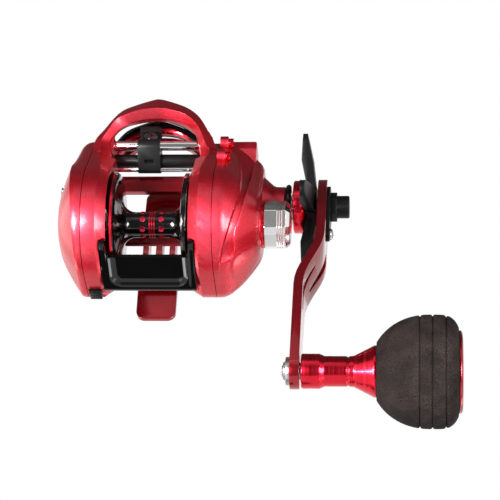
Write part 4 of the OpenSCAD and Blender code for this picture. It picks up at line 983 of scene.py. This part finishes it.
# Each lamp or card: its direction as right, up and back in the view, its distance, width and height, then
# a lamp's watts or a card's tone
LAMPS = (
    ("Left", (-0.62, 0.06, 0.78), 0.85, 0.3, 0.4, 17.0),
    ("Right", (0.62, 0.06, 0.78), 0.85, 0.3, 0.4, 9.4),
    ("Top", (0.0, 0.82, 0.57), 0.9, 1.2, 0.5, 0.9))
CARDS = (
    ("Ceiling", (0.0, 0.3, 0.95), 1.05, 2.0, 1.9, 0.2),
    ("Front flag", (0.0, 0.95, -0.1), 1.2, 3.6, 1.5, 0.12),
    ("Low flag", (-0.36, -0.93, 0.1), 1.1, 0.64, 0.36, 0.05),
    ("Back flag", (0.55, -0.3, -0.78), 1.0, 0.6, 0.6, 0.6),
    ("High flag", (0.0, 0.62, -0.78), 1.1, 2.6, 1.0, 0.1),
    ("Left sheet", (-0.865, 0.04, -0.47), 1.0, 0.5, 0.6, 2.4),
    ("Left low", (-0.52, -0.66, 0.54), 1.0, 0.34, 0.3, 3.2),
    ("Right low", (0.52, -0.66, 0.54), 1.0, 0.34, 0.3, 3.2),
    ("Left glint", (-0.7, -0.68, -0.2), 1.0, 0.35, 0.3, 6.0),
    ("Right glint", (0.7, -0.68, -0.2), 1.0, 0.35, 0.3, 6.0))


def view_axes():
    """Right, up and backward directions of the camera."""
    level = Vector((0, -math.cos(VIEW_UP), math.sin(VIEW_UP)))
    side = Vector((1, 0, 0))
    back = level * math.cos(VIEW_YAW) + side * math.sin(VIEW_YAW)
    right = side * math.cos(VIEW_YAW) - level * math.sin(VIEW_YAW)
    return right, Vector((0, math.sin(VIEW_UP), math.cos(VIEW_UP))), back


def aimed(towards, far):
    """Place and turn of what faces the reel from a direction in the view, at a distance."""
    way = sum((axis * share for axis, share in zip(view_axes(), towards)), Vector()).normalized()
    return Matrix.Translation(VIEW_AT + way * far) @ way.to_track_quat("Z", "Y").to_matrix().to_4x4()


def lamp(name, towards, far, width, height, watts):
    """A soft box."""
    data = bpy.data.lights.new(name, "AREA")
    data.shape, data.size, data.size_y, data.energy = "RECTANGLE", width, height, watts
    made = bpy.data.objects.new(name, data)
    bpy.context.scene.collection.objects.link(made)
    made.matrix_world = aimed(towards, far)


def card(name, towards, far, width, height, tone):
    """A flat card that shows only in the gloss of the reel."""
    made = add(name, "plane", size=1)
    made.matrix_world = aimed(towards, far) @ Matrix.Diagonal((width, height, 1, 1))
    paint = bpy.data.materials.new(name)
    paint.use_nodes = True
    tree = paint.node_tree
    tree.nodes.clear()
    out = tree.nodes.new("ShaderNodeOutputMaterial")
    spread = node(tree, "TexNoise", {"Scale": 1.5, "Detail": 2.0})
    glow = node(tree, "Emission", {"Strength": remap(tree, spread, 0.0, 1.0, 0.9 * tone, 1.1 * tone)})
    tree.links.new(glow.outputs[0], out.inputs[0])
    made.data.materials.append(paint)
    made.visible_camera = False
    made.visible_shadow = False
    made.visible_diffuse = False


def set_world():
    """White to the camera and in gloss, softer as a light."""
    world = bpy.data.worlds.new("White studio")
    bpy.context.scene.world = world
    world.use_nodes = True
    tree = world.node_tree
    back = tree.nodes["Background"]
    ray = node(tree, "LightPath").outputs
    seen = node(tree, "Math", {0: ray["Is Camera Ray"], 1: ray["Is Glossy Ray"]}, operation="MAXIMUM")
    clear = node(tree, "Math", {0: seen, 1: ray["Is Transmission Ray"]}, operation="MAXIMUM")
    power = remap(tree, clear, 0.0, 1.0, 0.16, 1.0)
    back.inputs["Color"].default_value = (1, 1, 1, 1)
    tree.links.new(power.outputs[0], back.inputs["Strength"])


def set_camera():
    """The photographer's view."""
    right, up, back = view_axes()
    data = bpy.data.cameras.new("View")
    data.lens, data.sensor_width, data.clip_start = VIEW_LENS, 36.0, 0.01
    made = bpy.data.objects.new("View", data)
    bpy.context.scene.collection.objects.link(made)
    turn = Matrix((right, up, back)).transposed().to_4x4()
    made.matrix_world = Matrix.Translation(VIEW_AT + back * VIEW_FAR) @ turn
    bpy.context.scene.camera = made


# Operators
class REEL_OT_frame(bpy.types.Operator):
    """Rounds the frame and the foot, and builds the hood and the sill"""

    bl_idname = "reel.frame"
    bl_label = "Frame and foot"

    def execute(self, context):
        frame_shell()
        hood()
        line_sill()
        # The foot takes the deeper crank red as painted shade, for the shade it lies in under the reel
        soften("reel_foot", 0.4, "crank", steps=3)
        return {"FINISHED"}


class REEL_OT_covers(bpy.types.Operator):
    """Builds the two side covers with their fittings, and rounds their screws"""

    bl_idname = "reel.covers"
    bl_label = "Side covers"

    def execute(self, context):
        palm_cover()
        gear_cover()
        gear_fittings()
        soften("cover_screws", 0.2)
        return {"FINISHED"}


class REEL_OT_controls(bpy.types.Operator):
    """Builds the thumb bar and the cast control cap, and rounds the release tab and brake dial"""

    bl_idname = "reel.controls"
    bl_label = "Controls"

    def execute(self, context):
        thumb_bar()
        soften("release_tab", 0.12, "satin_black")
        soften("brake_dial", 0.12, "steel")
        cast_cap()
        soften("cast_control_collar", 0.06)
        return {"FINISHED"}


class REEL_OT_spool(bpy.types.Operator):
    """Rounds the spool and adds its red trim"""

    bl_idname = "reel.spool"
    bl_label = "Spool"

    def execute(self, context):
        spool_trim()
        return {"FINISHED"}


class REEL_OT_guide(bpy.types.Operator):
    """Rounds the line guide and the rods it runs on"""

    bl_idname = "reel.guide"
    bl_label = "Line guide"

    def execute(self, context):
        soften("line_guide", 0.3, "guide", steps=3)
        soften("guide_ring", 0.1)
        soften("upper_guide_rod", 0.15)
        soften("lower_guide_rod", 0.12)
        soften("worm_tube", 0.06, "guide")
        return {"FINISHED"}


class REEL_OT_drag(bpy.types.Operator):
    """Rounds the star drag and the rings beside it"""

    bl_idname = "reel.drag"
    bl_label = "Drag"

    def execute(self, context):
        soften("star_drag", 0.4, steps=3)
        soften("drag_ring", 0.2)
        soften("seal_ring", 0.2)
        return {"FINISHED"}


class REEL_OT_handle(bpy.types.Operator):
    """Rounds the handle arm and its nut, plate and screw, and builds the knob's bolt"""

    bl_idname = "reel.handle"
    bl_label = "Handle"

    def execute(self, context):
        soften("handle_arm", 0.35, "crank", steps=3)
        soften("nut_retainer", 0.15)
        soften("handle_nut", 0.25)
        soften("retainer_screw", 0.12)
        knob_bolt()
        return {"FINISHED"}


class REEL_OT_knob(bpy.types.Operator):
    """Builds the foam grip and rounds the knob's metal"""

    bl_idname = "reel.knob"
    bl_label = "Knob"

    def execute(self, context):
        foam_grip()
        soften("knob_stem", 0.15, angle=20)
        soften("knob_end_cap", 0.25, "crank")
        return {"FINISHED"}


class REEL_OT_stage(bpy.types.Operator):
    """Sets the white studio, the camera, the lamps and the cards"""

    bl_idname = "reel.stage"
    bl_label = "Stage"

    def execute(self, context):
        set_world()
        set_camera()
        for settings in LAMPS:
            lamp(*settings)
        for settings in CARDS:
            card(*settings)
        context.scene.view_settings.view_transform = "Standard"
        return {"FINISHED"}


class REEL_PT_panel(bpy.types.Panel):
    """Finishes, sizes and build steps of the reel"""

    bl_idname = "REEL_PT_panel"
    bl_label = "Reel"
    bl_space_type = "VIEW_3D"
    bl_region_type = "UI"
    bl_category = "Reel"

    def draw(self, context):
        for settings in (context.scene.reel_finish, context.scene.reel_sizes):
            box = self.layout.box()
            for key in settings.__annotations__:
                box.prop(settings, key)
        for step in STEPS:
            self.layout.operator(step.bl_idname)


STEPS = (
    REEL_OT_frame, REEL_OT_covers, REEL_OT_controls, REEL_OT_spool, REEL_OT_guide, REEL_OT_drag,
    REEL_OT_handle, REEL_OT_knob, REEL_OT_stage)
CLASSES = (ReelFinish, ReelSizes, *STEPS, REEL_PT_panel)


def register():
    for item in CLASSES:
        bpy.utils.register_class(item)
    bpy.types.Scene.reel_finish = PointerProperty(type=ReelFinish)
    bpy.types.Scene.reel_sizes = PointerProperty(type=ReelSizes)


def unregister():
    del bpy.types.Scene.reel_sizes
    del bpy.types.Scene.reel_finish
    for item in reversed(CLASSES):
        bpy.utils.unregister_class(item)


def main():
    register()
    make_finishes()
    for step in STEPS:
        area, name = step.bl_idname.split(".")
        if getattr(getattr(bpy.ops, area), name)() != {"FINISHED"}:
            raise RuntimeError(f"{step.bl_label} wasn't finished")
    dress_rest()


if __name__ == "__main__":
    main()
